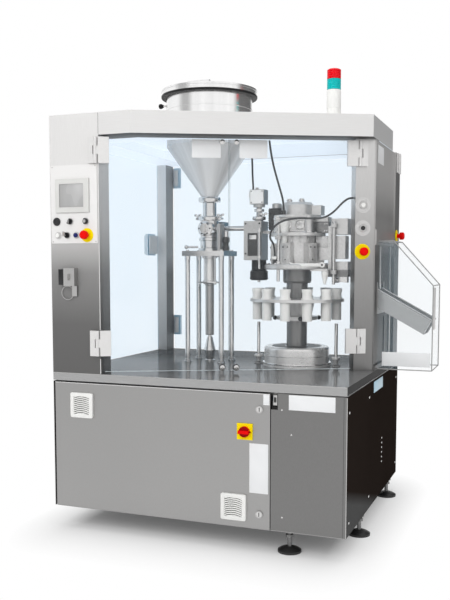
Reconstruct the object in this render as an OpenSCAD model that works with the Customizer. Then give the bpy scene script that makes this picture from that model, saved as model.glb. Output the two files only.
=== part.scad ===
// Rotary tube filling machine on a cabinet, with a guarded work space, a hopper and a turret.
// Sizes are worked out from the cabinet's front left corner on the floor, then moved to the
// middle of the footprint. +X runs along the cabinet's front, +Y to the back, +Z up.

/* [Cabinet] */
// Width of the cabinet
cabinet_w = 1424; // [1300:1:1600]
// Depth of the cabinet
cabinet_d = 1240; // [1150:1:1400]
// Height of the worktop above the floor
table_z = 750; // [700:1:850]
// Thickness of the worktop plate
table_t = 8; // [6:0.5:12]
// Height of the folded lip round the worktop
lip_h = 38; // [30:1:50]
// Gap between the floor and the cabinet
floor_gap = 100; // [80:1:130]
// Thickness of the cabinet's sheet panels
panel_t = 3; // [2:0.5:4]
// Width of the cabinet frame's square tube
tube_w = 50; // [40:1:60]
// Distance from the cabinet's front to the frame behind the door
frame_back = 36; // [34:1:45]
// Gap round the cabinet's door and panels
panel_gap = 4; // [3:0.5:6]

/* [Feet] */
// Radius of a foot's pad
pad_r = 52; // [40:1:60]
// Height of a foot's pad
pad_h = 26; // [20:1:35]
// Radius of a foot's threaded stem
stem_r = 10; // [8:0.5:12]
// Place of the front foot along the cabinet
front_foot_x = 1160; // [900:1:1250]
// Place of the middle feet from the front
middle_foot_y = 400; // [300:1:500]
// Place of the rear feet from the front
rear_foot_y = 1105; // [1000:1:1130]

/* [Cabinet door] */
// Width of the cabinet door
door_w = 1077; // [1050:1:1082]
// Depth of the door's folded edge
door_depth = 24; // [20:1:26]
// Gap from the cabinet's left side to the door
door_left = 10; // [9:0.5:12]
// Radius of the door's hinge pins
door_pin_r = 5; // [4:0.5:6]
// Distance of the hinge pin from the door's left edge and face
door_pin_in = 13; // [12:0.5:14]
// Height of the upper hinge pin's middle
door_hinge_top = 600; // [560:1:640]
// Height of the lower hinge pin's middle
door_hinge_low = 230; // [190:1:280]
// Side of a square fan filter
fan_w = 118; // [110:1:125]
// Proud height of a fan filter
fan_t = 11; // [8:0.5:14]
// Number of louvres in a fan filter
fan_slats = 9; // [7:1:11]
// Side of the main switch's square plate
switch_w = 72; // [60:1:80]
// Thickness of the main switch's plate
switch_t = 5; // [4:0.5:7]
// Radius of the main switch's knob
switch_r = 24; // [20:0.5:28]
// Radius of a door lock's barrel
lock_r = 11; // [9:0.5:13]
// Distance of the locks from the door's right edge
lock_in = 48; // [40:1:52]
// Length of a lock's cam from the barrel's axis
cam_len = 66; // [60:1:70]

/* [Guard] */
// Height of the canopy's top above the floor
canopy_top = 1949; // [1900:1:2050]
// Height of the canopy's front
canopy_h = 101; // [90:1:120]
// Thickness of the canopy's sheet
canopy_t = 3; // [2:0.5:5]
// Width of the canopy's underside
canopy_under = 165; // [160:1:180]
// Place along the front where the canopy turns
bend_x = 423; // [400:1:440]
// Distance of the canopy's right corner behind the cabinet's front
corner_y = 505; // [480:1:520]
// Inset of the canopy from the cabinet's right side
canopy_inset = 7; // [5:1:12]
// Depth at which the canopy's right side ends
side_end_y = 1017; // [980:1:1040]
// Width of the control column
column_w = 259; // [245:1:280]
// Depth of the control column
column_d = 95; // [85:1:110]
// Thickness of the column's and posts' sheet
post_t = 3; // [2.5:0.5:5]
// Width of the front right post
post_w = 98; // [90:1:105]
// Depth of the front right post
post_d = 80; // [70:1:90]
// Distance that the front right post stands past the canopy's corner, along the doors
post_past = 38; // [35:1:45]
// Width of the rear left post
rear_post_w = 60; // [50:1:70]
// Depth of the rear left post
rear_post_d = 100; // [80:1:120]
// Width of the rear right post
far_post_w = 90; // [80:1:95]
// Distance of the rear right post from the cabinet's back
far_post_in = 30; // [20:1:40]
// Depth of the rear right post
far_post_d = 130; // [110:1:140]

/* [Glass doors] */
// Thickness of the glass
glass_t = 8; // [6:0.5:10]
// Gap below and above the glass
glass_gap = 10; // [8:1:14]
// Distance of the hinge pin in front of the face that carries the hinge
pivot_out = 12; // [11:0.5:14]
// Distance of the glass behind the hinge pin
glass_back = 14; // [12:0.5:16]
// Distance from the hinge pin to the edge of the glass
glass_start = 27; // [25:0.5:30]
// Place of the front left hinge pin along the cabinet
left_pivot_x = 250; // [240:1:252]
// Place along the doors where the two front doors meet
meet_x = 455; // [440:1:470]
// Gap between two doors that meet
meet_gap = 4; // [3:0.5:6]
// Height of a hinge
hinge_h = 118; // [100:1:130]
// Width of a hinge's plate on the glass
hinge_leaf_w = 62; // [55:1:70]
// Radius of a hinge's knuckle
knuckle_r = 9; // [8:0.5:10]
// Radius of a hinge's pin
hinge_pin_r = 4; // [3:0.5:5]
// Height of the upper hinges' foot above the worktop
hinge_top_h = 970; // [900:1:970]
// Height of the lower hinges' foot above the worktop
hinge_low_h = 86; // [70:1:120]
// Radius of the round catches on the front doors
catch_r = 12; // [9:0.5:14]

/* [Controls] */
// Width of the light control plate
plate_w = 245; // [235:1:250]
// Height of the light control plate
plate_h = 360; // [350:1:380]
// Thickness of the light control plate
plate_t = 4; // [3:0.5:5]
// Height of the control plate's foot above the worktop
plate_low = 608; // [590:1:620]
// Width of the touch screen's frame
screen_w = 177; // [160:1:190]
// Height of the touch screen's frame
screen_h = 153; // [140:1:160]
// Proud height of the touch screen's frame
screen_t = 9; // [6:0.5:12]
// Radius of a push button's cap
cap_r = 10.5; // [9:0.5:12]
// Radius of a push button's stem
button_stem_r = 5; // [4:0.5:6]
// Travel of a push button
button_travel = 4; // [3:0.5:5]
// Radius of an emergency stop's head
stop_r = 20; // [18:0.5:22]
// Travel of an emergency stop
stop_travel = 6; // [4:0.5:8]
// Radius of the panel's emergency stop collar
stop_collar_r = 32; // [30:1:34]
// Radius of the post's collars
post_collar_r = 37; // [34:1:40]

/* [Outfeed] */
// Reach of the hood from the cabinet's side
hood_out = 261; // [240:1:300]
// Depth of the hood along the side
hood_d = 255; // [235:1:270]
// Distance of the hood's front from the cabinet's front
hood_y = 645; // [635:1:655]
// Height of the hood's upper edge at the wall above the worktop
hood_top_h = 624; // [600:1:650]
// Thickness of the hood's clear sheet
hood_t = 5; // [4:0.5:8]
// Width of the chute
chute_w = 150; // [130:1:160]
// Height of the chute's sides
chute_h = 80; // [60:1:90]
// Thickness of the chute's sheet
chute_t = 2.5; // [2:0.5:4]
// Slope of the chute
chute_slope = 29; // [25:1:33]

/* [Dosing unit] */
// Place of the dosing unit along the cabinet
dose_x = 520; // [500:1:540]
// Place of the dosing unit behind the cabinet's front
dose_y = 700; // [680:1:720]
// Radius of the hopper
hopper_r = 222; // [200:1:230]
// Thickness of the hopper's wall
hopper_t = 3; // [2:0.5:4]
// Height of the hopper's foot above the worktop
hopper_low = 848; // [830:1:860]
// Height of the hopper's cone
cone_h = 268; // [250:1:280]
// Height of the hopper's straight side
hopper_side = 260; // [245:1:280]
// Radius of the hopper's rim and lid
rim_r = 247; // [240:1:255]
// Radius of the hopper's outlet
outlet_r = 40; // [34:1:44]
// Distance between the stand's columns along the cabinet
stand_w = 190; // [170:1:200]
// Distance between the stand's columns from front to back
stand_d = 150; // [140:1:170]
// Radius of the stand's columns
stand_r = 10; // [8:0.5:12]
// Height of the stand's plate above the worktop
stand_h = 581; // [560:1:590]
// Thickness of the stand's plate
stand_t = 26; // [20:1:30]
// Bore radius of the dosing cylinder
bore_r = 26; // [24:0.5:30]
// Wall of the dosing cylinder
bore_wall = 6; // [4:0.5:8]
// Length of the dosing cylinder
bore_h = 142; // [135:1:160]
// Stroke of the dosing piston
stroke = 90; // [70:1:94]
// Radius of the piston's rod
rod_r = 9; // [7:0.5:10]
// Radius of the valve's rotor
rotor_r = 30; // [27:0.5:32]
// Radius of the product line's pipe
pipe_r = 13; // [11:0.5:15]

/* [Turret] */
// Place of the turret along the cabinet
turret_x = 1000; // [990:1:1010]
// Place of the turret behind the cabinet's front
turret_y = 700; // [690:1:710]
// Radius of the turret's drum
drum_r = 165; // [155:1:175]
// Height of the turret's drum
drum_h = 98; // [90:1:110]
// Radius of the turret's fixed column
core_r = 42; // [38:1:45]
// Pitch radius of the tube holders
pitch_r = 205; // [200:1:210]
// Number of tube holders
stations = 12; // [8:4:12]
// Rim of the index disc outside the holders' pitch circle
disc_rim = 33; // [31:1:40]
// Thickness of the index disc
disc_t = 14; // [10:1:18]
// Height of the index disc above the worktop
disc_h = 325; // [315:1:335]
// Radius of a tube holder's socket
socket_r = 19; // [15:0.5:20]
// Wall of a tube holder
holder_wall = 5; // [4:0.5:6]
// Height of a tube holder
holder_h = 155; // [145:1:160]
// Radius of a lift rod
lift_r = 5; // [4:0.5:6]
// Stroke of the lift rods
lift_stroke = 60; // [40:1:70]
// Height of the turret head's foot above the worktop
head_low = 417; // [410:1:430]
// Radius of the turret head's carrier plate
carrier_r = 165; // [150:1:175]
// Travel of the sealing jaw
jaw_travel = 25; // [15:1:30]

/* [Signal tower] */
// Radius of the signal tower
tower_r = 35; // [28:1:38]
// Height of the tower's base
tower_base_h = 164; // [120:1:180]
// Height of one of the tower's lenses
lens_h = 51; // [40:1:60]

/* [Hidden] */
$fn = 48;

// Running clearance between pieces that move on each other
run = 0.3;
// Small overlap that lets a cut pass a face
cut = 1;

// Cabinet
under_z = table_z - table_t;
panel_low = floor_gap + panel_gap;
panel_high = table_z - lip_h - panel_gap;
panel_h = panel_high - panel_low;
door_right = door_left + door_w;
door_skin = 2.5;
fixed_left = door_right + panel_gap;
door_pin_x = door_left + door_pin_in;
door_lug_h = 34;
door_arm_t = 8;
rail_x = panel_t + tube_w / 2;
foot_places = [[front_foot_x, frame_back + tube_w / 2], [cabinet_w - rail_x, middle_foot_y],
    [cabinet_w - rail_x, rear_foot_y], [rail_x, middle_foot_y], [rail_x, rear_foot_y]];
fan_places = [[157, panel_high - 109], [door_right - 167, panel_low + 89]];
switch_place = [door_right - 115, panel_low + 429];
lock_x = door_right - lock_in;
lock_top_z = panel_high - 74;
lock_low_z = panel_low + 66;
cam_y = door_depth + 2;
cam_t = 4;

// Guard
canopy_low = canopy_top - canopy_h;
canopy_right = cabinet_w - canopy_inset;
turn = atan2(corner_y, canopy_right - bend_x);
front_len = norm([canopy_right - bend_x, corner_y]);
post_x = front_len + post_past - post_w;
far_post_y = cabinet_d - far_post_in - far_post_d;
pivot_y = -(left_pivot_x - bend_x) * sin(turn) - pivot_out * cos(turn);
left_pivot_along = (left_pivot_x - bend_x) * cos(turn) - pivot_out * sin(turn);
post_y = pivot_y + pivot_out;
right_pivot_along = post_x + glass_start - glass_gap + 2;
wall_x = canopy_right - canopy_t;
far_post_x = cabinet_w - far_post_w;
glass_low = table_z + glass_gap;
glass_high = canopy_low - glass_gap;
hinge_tops = [table_z + hinge_low_h, table_z + hinge_top_h];
side_pivot = [-pivot_out, column_d - glass_start + glass_gap];
rear_pivot = [rear_post_w - glass_start + glass_gap, cabinet_d + pivot_out];
side_glass_w = cabinet_d - rear_post_d - glass_gap - side_pivot.y - glass_start;
rear_glass_w = far_post_x - glass_gap - rear_pivot.x - glass_start;
left_glass_w = meet_x - meet_gap / 2 - left_pivot_along - glass_start;
right_glass_w = right_pivot_along - glass_start - meet_x - meet_gap / 2;
handle_out = 42;

// Controls
plate_x = (column_w - plate_w) / 2;
plate_z = table_z + plate_low;
plate_top = plate_z + plate_h;
screen_place = [plate_x + 28, plate_top - 65 - screen_h];
row_top = plate_z + 101;
row_low = plate_z + 37;
buzzer_place = [plate_x + 30, row_top];
mode_place = [plate_x + 103, row_top];
speed_place = [plate_x + 186, row_top];
white_place = [plate_x + 37, row_low];
key_place = [plate_x + 86, row_low];
blue_place = [plate_x + 134, row_low];
stop_place = [plate_x + 191, row_low];
ring_h = 5;
ring_wall = 5;
knob_r = 13;
stop_neck_r = 11.5;
stop_collar_t = 5;
stop_head_z = stop_collar_t + stop_travel + 8;
stop_head_h = 24;
stop_stem = 18;
post_button_x = post_x + 36;
post_rows = [table_z + 790, table_z + 682, table_z + 571];
rear_stop = [far_post_y + 45, table_z + 662];
pull_h = 565;
pull_z = table_z + pull_h;
latch_h = 410;
latch_place = [52, table_z + latch_h];
latch_size = [90, 32, 83];
key_hole_r = 7;

// Outfeed
wall_rail = 8;
hood_left = wall_x + wall_rail;
hood_right = cabinet_w + hood_out;
hood_top = table_z + hood_top_h;
hood_shoulder = 70;
eave_h = 410;
hood_eave = table_z + eave_h;
chute_y = hood_y + 25;
chute_wall_z = table_z + 294;
chute_in = 135;
chute_out = 216;
chute_gap = 4;
chute_below = 12;
chute_above = 118;
chute_flange = 12;

// Dosing unit
hopper_z = table_z + hopper_low;
cone_top = hopper_z + cone_h;
hopper_top = cone_top + hopper_side;
rim_h = 19;
lid_t = 12;
lid_z = hopper_top + rim_h;
lid_pin_y = rim_r + 14;
lid_pin_z = lid_z + lid_t / 2;
lid_knuckle_r = 10;
lid_ear_r = 11;
lid_pin_r = 5;
stand_z = table_z + stand_h;
plate_under = stand_z - stand_t;
valve_r = 48;
valve_h = 178;
valve_z = stand_z + valve_h;
rotor_z = stand_z + 116;
port_r = 16;
bush_h = 130;
cylinder_z = plate_under - bore_h;
cylinder_floor = 12;
piston_h = 30;
rod_low = 560;
drive_low = 300;

// Turret
drum_top = table_z + drum_h;
disc_z = table_z + disc_h;
sleeve_r = core_r + 10;
holder_r = socket_r + holder_wall;
holder_z = disc_z + disc_t + 51 - holder_h;
holder_floor = 15;
holder_hole = lift_r + 3;
lift_top = holder_z - 25;
lift_low = 600;
bush_top = 35;
head_z = table_z + head_low;
carrier_z = head_z + 68;
carrier_t = 27;
head_plate_z = carrier_z + 181;
hose_stub = [-80, -127, 36];
jaw_z = carrier_z - 36;
jaw_tongue = 12;
fill_x = turret_x - pitch_r;
eject_x = turret_x + pitch_r;
disc_r = pitch_r + disc_rim;
head_tall = 417;

// Box of the whole machine, used to put the origin in the middle of its foot
reach_left = pivot_out - glass_back + handle_out;
reach_front = plate_t + stop_head_z + stop_head_h;
reach_back = cabinet_d + pivot_out - glass_back + handle_out;
middle = [(hood_right - reach_left) / 2, (reach_back - reach_front) / 2];

// Point given along and behind the canopy's turned front
function turned(along, behind) =
    [bend_x + along * cos(turn) - behind * sin(turn), along * sin(turn) + behind * cos(turn)];

// Hoses: points chosen by hand, from the cabinet's front left corner
hose_r = 5;
hose_sides = 8;
roof_z = canopy_top - canopy_t - run;
hose_head = [[900, 530, roof_z], [902, 532, 1880], [909, 539, 1810], [920, 551, 1740], [937, 572, 1660],
    [951, 596, 1590], [955, 607, 1540], [955, 607, head_plate_z + 90 + 2 * run]];
hose_fill = [[800, 556, roof_z], [801, 557, 1890], [801, 562, 1845], [798, 578, 1798], [791, 603, 1760],
    [781, 634, 1734], [772, 662, 1712], [767, 681, 1684], [767, 686, 1655],
    [767, 686, head_z + 474 + 2 * run]];
hose_post = [[1308, 584, 1577], [1284, 576, 1572], [1257, 569, 1551], [1224, 561, 1516], [1185, 549, 1489],
    [1136, 528, 1480], [1070, 500, 1481], [1010, 481, 1474], [964, 468, 1452], [934, 472, 1418],
    [922, 496, 1388], [920, 530, 1373], [920, 558, 1355], [920, 572, 1326],
    [turret_x + hose_stub.x, turret_y + hose_stub.y, carrier_z + carrier_t + hose_stub.z + 2 * run]];

module placed() {
    translate([-middle.x, -middle.y, 0]) children();
}

module turned_front() {
    translate([bend_x, 0, 0]) rotate([0, 0, turn]) children();
}

// A box between two corners
module box(low, high) {
    translate(low) cube(high - low);
}

// An upright tube with a closed top
module capped_tube(low, high, wall) {
    difference() {
        box(low, high);
        box([low.x + wall, low.y + wall, low.z - cut], [high.x - wall, high.y - wall, high.z - 2 * wall]);
    }
}

// A cylinder along +Z with a bore through it
module ring(outer, inner, h) {
    difference() {
        cylinder(r = outer, h = h);
        translate([0, 0, -cut]) cylinder(r = inner, h = h + 2 * cut);
    }
}

// Tube swept along a list of points
function unit(v) = v / norm(v);
function path_dir(p, i) = unit(p[min(i + 1, len(p) - 1)] - p[max(i - 1, 0)]);
function side_dir(d) = unit(cross(d, abs(d.x) > 0.9 ? [0, 1, 0] : [1, 0, 0]));
function eased(p, n) = [for (i = [0 : len(p) - 2]) for (k = [0 : n - (i < len(p) - 2 ? 1 : 0)])
    let (a = p[max(i - 1, 0)], b = p[i], c = p[i + 1], d = p[min(i + 2, len(p) - 1)], s = k / n)
        0.5 * (2 * b + (c - a) * s + (2 * a - 5 * b + 4 * c - d) * s * s + (3 * b - a - 3 * c + d)
            * s * s * s)];
module swept_tube(path, r, sides) {
    points = [for (i = [0 : len(path) - 1]) let (d = path_dir(path, i), a = side_dir(d), b = cross(d, a))
        for (k = [0 : sides - 1]) path[i] + r * (cos(360 * k / sides) * a + sin(360 * k / sides) * b)];
    last = len(path) - 1;
    sides_of = [for (i = [0 : last - 1]) for (k = [0 : sides - 1])
        [i * sides + k, i * sides + (k + 1) % sides, (i + 1) * sides + (k + 1) % sides, (i + 1)
            * sides + k]];
    first_cap = [for (k = [sides - 1 : -1 : 0]) k];
    last_cap = [for (k = [0 : sides - 1]) last * sides + k];
    polyhedron(points, concat(sides_of, [first_cap, last_cap]));
}

// Cabinet
module base_frame() {
    rear = cabinet_d - panel_t;
    left = panel_t;
    right = cabinet_w - panel_t;
    low = floor_gap;
    color("gray") placed() {
        for (x = [left, right - tube_w]) for (y = [frame_back, rear - tube_w])
            box([x, y, low], [x + tube_w, y + tube_w, under_z]);
        for (z = [low, under_z - tube_w]) {
            for (y = [frame_back, rear - tube_w]) box([left, y, z], [right, y + tube_w, z + tube_w]);
            for (x = [left, right - tube_w]) box([x, frame_back, z], [x + tube_w, rear, z + tube_w]);
        }
        for (y = [turret_y - 200, turret_y + 150])
            box([left, y, under_z - tube_w], [right, y + tube_w, under_z]);
        for (z = [door_hinge_low, door_hinge_top]) {
            box([door_pin_x - 7, door_pin_in - 7, z + door_lug_h / 2 + run],
                [door_pin_x + 7, frame_back + cut, z + door_lug_h / 2 + run + door_arm_t]);
            translate([door_pin_x, door_pin_in, z - door_lug_h / 2])
                cylinder(r = door_pin_r, h = door_lug_h + door_arm_t);
        }
    }
}

module worktop() {
    color("lightgray") placed() {
        difference() {
            box([0, 0, table_z - lip_h], [cabinet_w, cabinet_d, table_z]);
            box([panel_t, panel_t, table_z - lip_h - cut], [cabinet_w - panel_t, cabinet_d - panel_t,
                under_z]);
            translate([turret_x, turret_y, under_z - cut]) cylinder(r = core_r + 20, h = table_t + 2 * cut);
            translate([dose_x, dose_y, under_z - cut]) cylinder(r = rod_r + 3, h = table_t + 2 * cut);
            for (x = [fill_x, eject_x])
                translate([x, turret_y, under_z - cut]) cylinder(r = lift_r + run, h = table_t + 2 * cut);
        }
        for (x = [fill_x, eject_x]) translate([x, turret_y, table_z]) difference() {
            rotate_extrude() polygon([[0, 0], [22, 0], [22, 5], [12, 9], [12, bush_top - 5], [19,
                bush_top - 4],
                [19, bush_top], [0, bush_top]]);
            translate([0, 0, -cut]) cylinder(r = lift_r + run, h = bush_top + 2 * cut);
        }
    }
}

module base_panels() {
    fold = 20;
    notch = [31, 70];
    rear = cabinet_d;
    color("silver") placed() {
        difference() {
            union() {
                box([fixed_left, 0, panel_low], [cabinet_w, panel_t, panel_high]);
                box([fixed_left, 0, panel_low], [fixed_left + panel_t, fold, panel_high]);
            }
            box([fixed_left - cut, -cut, panel_high - notch.y], [fixed_left + notch.x, fold + cut,
                panel_high + cut]);
        }
        box([cabinet_w - panel_t, panel_t, panel_low], [cabinet_w, rear, panel_high]);
        box([0, 0, panel_low], [panel_t, rear, panel_high]);
        box([panel_t, rear - panel_t, panel_low], [cabinet_w - panel_t, rear, panel_high]);
    }
}

module levelling_feet() {
    color("dimgray") placed() for (p = foot_places) translate([p.x, p.y, 0]) {
        rotate_extrude() polygon([[0, 0], [pad_r, 0], [pad_r, pad_h * 0.4], [pad_r * 0.75, pad_h * 0.7],
            [stem_r + 8, pad_h], [0, pad_h]]);
        cylinder(r = stem_r, h = floor_gap);
        translate([0, 0, floor_gap - 34]) cylinder(r = stem_r + 8, h = 12, $fn = 6);
        translate([0, 0, floor_gap - 12]) cylinder(r = stem_r + 14, h = 12);
    }
}

module base_door() {
    color("silver") placed() difference() {
        union() {
            difference() {
                box([door_left, 0, panel_low], [door_right, door_depth, panel_high]);
                box([door_left + door_skin, door_skin, panel_low + door_skin],
                    [door_right - door_skin, door_depth + cut, panel_high - door_skin]);
            }
            for (z = [door_hinge_low, door_hinge_top])
                box([door_pin_x - 9, door_skin, z - door_lug_h / 2], [door_pin_x + 9, door_depth - 2,
                    z + door_lug_h / 2]);
        }
        for (z = [door_hinge_low, door_hinge_top]) {
            translate([door_pin_x, door_pin_in, z - door_lug_h / 2 - cut])
                cylinder(r = door_pin_r + run, h = door_lug_h + 2 * cut);
            box([door_left - cut, door_skin, z + door_lug_h / 2 - 3],
                [door_left + door_skin + cut, door_depth + cut, z + door_lug_h / 2 + door_arm_t + 4]);
        }
        for (p = fan_places)
            box([p.x - fan_w / 2 + 12, -cut, p.y - fan_w / 2 + 12], [p.x + fan_w / 2 - 12,
                door_skin + cut, p.y + fan_w / 2 - 12]);
        translate([switch_place.x, -cut, switch_place.y]) rotate([-90, 0, 0]) cylinder(r = 8 + run,
            h = door_skin + 2 * cut);
        for (z = [lock_low_z, lock_top_z])
            translate([lock_x, -cut, z]) rotate([-90, 0, 0]) cylinder(r = lock_r + run,
                h = door_skin + 2 * cut);
    }
}

module fan_filters() {
    rim = 9;
    pitch = (fan_w - 2 * rim) / fan_slats;
    color("whitesmoke") placed() for (p = fan_places) translate([p.x, 0, p.y]) {
        difference() {
            box([-fan_w / 2, -fan_t, -fan_w / 2], [fan_w / 2, 0, fan_w / 2]);
            box([-fan_w / 2 + rim, -fan_t - cut, -fan_w / 2 + rim], [fan_w / 2 - rim, cut,
                fan_w / 2 - rim]);
        }
        for (i = [0 : fan_slats - 1])
            translate([0, -fan_t / 2, -fan_w / 2 + rim + pitch * (i + 0.5)]) rotate([-38, 0, 0])
                cube([fan_w - 2 * rim + cut, fan_t * 0.9, 3], center = true);
    }
}

module switch_plate() {
    color("gold") placed() translate([switch_place.x, 0, switch_place.y]) rotate([90, 0, 0]) difference() {
        translate([-switch_w / 2, -switch_w / 2, 0]) cube([switch_w, switch_w, switch_t]);
        translate([0, 0, -cut]) cylinder(r = 8 + run, h = switch_t + 2 * cut);
    }
}

module switch_knob() {
    color("red") placed() translate([switch_place.x, 0, switch_place.y]) rotate([90, 0, 0]) {
        translate([0, 0, -door_depth + 4]) cylinder(r = 8, h = door_depth + switch_t);
        translate([0, 0, switch_t + run]) cylinder(r = switch_r, h = 10);
        translate([-switch_r, -7, switch_t + run + 9]) cube([2 * switch_r, 14, 15]);
    }
}

// A quarter-turn lock: barrel, face disc with a slot, and a cam that points along dir
module door_lock(z, dir) {
    color("silver") placed() translate([lock_x, 0, z]) {
        difference() {
            rotate([90, 0, 0]) cylinder(r = lock_r + 5, h = 5);
            box([-1.5, -6, -8], [1.5, -2.5, 8]);
        }
        rotate([-90, 0, 0]) cylinder(r = lock_r, h = cam_y + cam_t);
        box([-8, cam_y, min(0, dir * cam_len)], [8, cam_y + cam_t, max(0, dir * cam_len)]);
    }
}

module door_lock_upper() {
    door_lock(lock_top_z, -1);
}

module door_lock_lower() {
    door_lock(lock_low_z, 1);
}

// Control column
module on_plate(place) {
    translate([place.x, -plate_t, place.y]) rotate([90, 0, 0]) children();
}

module on_post(z) {
    turned_front() translate([post_button_x, post_y, z]) rotate([90, 0, 0]) children();
}

module on_far_post() {
    translate([cabinet_w, rear_stop.x, rear_stop.y]) rotate([0, 90, 0]) children();
}

// Hole for a control's stem, drawn along the control's own axis
module stem_hole(r) {
    translate([0, 0, -40]) cylinder(r = r, h = 40 + plate_t + cut);
}

module plate_stem_holes() {
    for (p = [mode_place, speed_place, white_place, key_place, blue_place])
        on_plate(p) stem_hole(button_stem_r + run);
    on_plate(stop_place) stem_hole(stop_neck_r + run);
}

module control_column() {
    color("silver") placed() difference() {
        box([0, 0, table_z], [column_w, column_d, canopy_top]);
        box([post_t, post_t, table_z - cut], [column_w - post_t, column_d - post_t, canopy_top - post_t]);
        plate_stem_holes();
        translate([latch_place.x + latch_size.x * 0.68, -cut, latch_place.y + latch_size.z / 2])
            rotate([-90, 0, 0])
            cylinder(r = key_hole_r + run, h = post_t + 2 * cut);
    }
}

module control_panel() {
    color("gainsboro") placed() difference() {
        box([plate_x, -plate_t, plate_z], [plate_x + plate_w, 0, plate_top]);
        plate_stem_holes();
    }
}

module touch_screen() {
    side = 20;
    foot = 23;
    color("darkgray") placed() translate([screen_place.x, -plate_t, screen_place.y]) difference() {
        box([0, -screen_t, 0], [screen_w, 0, screen_h]);
        box([side, -screen_t - cut, foot], [screen_w - side - 6, -screen_t + 3, screen_h - side]);
    }
}

module column_latch() {
    ring_hang = 32;
    color("gray") placed() translate([latch_place.x, 0, latch_place.y]) {
        difference() {
            union() {
                box([0, -latch_size.y * 0.7, 6], [latch_size.x * 0.36, 0, latch_size.z - 6]);
                box([latch_size.x * 0.36, -latch_size.y, 0], [latch_size.x, 0, latch_size.z]);
            }
            translate([latch_size.x * 0.68, cut, latch_size.z / 2]) rotate([90, 0, 0])
                cylinder(r = key_hole_r + run, h = latch_size.y + 2 * cut);
        }
        translate([latch_size.x * 0.45, -9, -ring_hang]) rotate([90, 0, 0])
            rotate_extrude() translate([ring_hang, 0]) circle(r = 1.6, $fn = 16);
        box([latch_size.x * 0.36, -13, -2.5], [latch_size.x * 0.54, -5, 1]);
        box([latch_size.x * 0.72, -11, -48], [latch_size.x * 0.72 + 26, -7, 0]);
    }
}

module latch_key() {
    bow = 15;
    color("silver") placed() translate([latch_place.x + latch_size.x * 0.68, 0,
        latch_place.y + latch_size.z / 2]) {
        translate([0, 14, 0]) rotate([90, 0, 0]) cylinder(r = key_hole_r, h = latch_size.y + 16);
        difference() {
            box([-1.5, -latch_size.y - 15, -bow], [1.5, -latch_size.y - 1, bow]);
            translate([-3, -latch_size.y - 8, bow - 6]) rotate([0, 90, 0]) cylinder(r = 3, h = 6);
        }
    }
}

module button_bezels() {
    color("lightgray") placed() {
        for (p = [white_place, blue_place]) on_plate(p) ring(cap_r + run + ring_wall, cap_r + run, ring_h);
        for (p = [mode_place, speed_place, key_place]) on_plate(p) ring(knob_r + run + 3, knob_r + run,
            ring_h - 1);
        on_plate(buzzer_place) {
            cylinder(r = knob_r + 1, h = 4);
            cylinder(r = knob_r - 3, h = 9);
        }
        for (z = [post_rows[0], post_rows[1]]) on_post(z) {
            ring(post_collar_r, cap_r + run, 3);
            translate([0, 0, 3]) ring(cap_r + run + 6, cap_r + run, ring_h);
        }
    }
}

// Collar of an emergency stop
module stop_collar(r) {
    difference() {
        rotate_extrude() polygon([[0, 0], [r, 0], [r, stop_collar_t * 0.5], [r - 4, stop_collar_t], [0,
            stop_collar_t]]);
        translate([0, 0, -cut]) cylinder(r = stop_neck_r + run, h = stop_collar_t + 2 * cut);
    }
}

module estop_collars() {
    color("gold") placed() {
        on_plate(stop_place) stop_collar(stop_collar_r);
        on_post(post_rows[2]) stop_collar(post_collar_r);
        on_far_post() stop_collar(stop_collar_r);
    }
}

// Mushroom head and stem of an emergency stop
module stop_head() {
    z = stop_head_z;
    rotate_extrude() polygon([[0, -stop_stem], [stop_neck_r, -stop_stem], [stop_neck_r, z], [stop_r - 2, z],
        [stop_r, z + 4], [stop_r, z + stop_head_h - 7], [stop_r - 3, z + stop_head_h - 2],
        [stop_r - 8, z + stop_head_h], [0, z + stop_head_h]]);
}

module panel_estop() {
    color("red") placed() on_plate(stop_place) stop_head();
}

module post_estop() {
    color("red") placed() on_post(post_rows[2]) stop_head();
}

module rear_estop() {
    color("red") placed() on_far_post() stop_head();
}

// Cap and stem of a push button that sits base above its face
module push_button(base) {
    rotate_extrude() polygon([[0, -12], [button_stem_r, -12], [button_stem_r, base], [cap_r, base],
        [cap_r, base + 6], [cap_r - 1.5, base + 7.5], [0, base + 8]]);
}

module panel_white_button() {
    color("white") placed() on_plate(white_place) push_button(button_travel + 1);
}

module panel_blue_button() {
    color("navy") placed() on_plate(blue_place) push_button(button_travel + 1);
}

module post_white_button() {
    color("white") placed() on_post(post_rows[0]) push_button(button_travel + 1);
}

module post_black_button() {
    color("black") placed() on_post(post_rows[1]) push_button(button_travel + 1);
}

// Turning knob of a selector, with a grip of the given size
module selector(grip_w, grip_h) {
    translate([0, 0, -12]) cylinder(r = button_stem_r, h = 14);
    translate([0, 0, run]) cylinder(r = knob_r, h = 9);
    translate([-grip_w / 2, -knob_r, 8]) cube([grip_w, 2 * knob_r, grip_h]);
}

module mode_selector() {
    color("black") placed() on_plate(mode_place) rotate([0, 0, -35]) selector(7, 12);
}

module speed_knob() {
    color("black") placed() on_plate(speed_place) {
        selector(8, 10);
        translate([0, 0, 8]) cylinder(r1 = knob_r - 1, r2 = knob_r - 3, h = 9);
    }
}

module key_selector() {
    color("black") placed() on_plate(key_place) rotate([0, 0, 20]) selector(6, 11);
}

// Guard
canopy_plan = [[column_w, 0], [bend_x, 0], [canopy_right, corner_y], [canopy_right, side_end_y],
    [far_post_x, cabinet_d], [0, cabinet_d], [0, column_d], [column_w, column_d]];

// Inset of a plan whose corners run anticlockwise
function edge_normal(a, b) = let (v = b - a) [-v.y, v.x] / norm(v);
function inset_corner(a, b, c, d) =
    let (m = edge_normal(a, b), n = edge_normal(b, c)) b + d * (m + n) / (1 + m * n);
function inset(p, d) = let (k = len(p))
    [for (i = [0 : k - 1]) inset_corner(p[(i + k - 1) % k], p[i], p[(i + 1) % k], d)];

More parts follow.
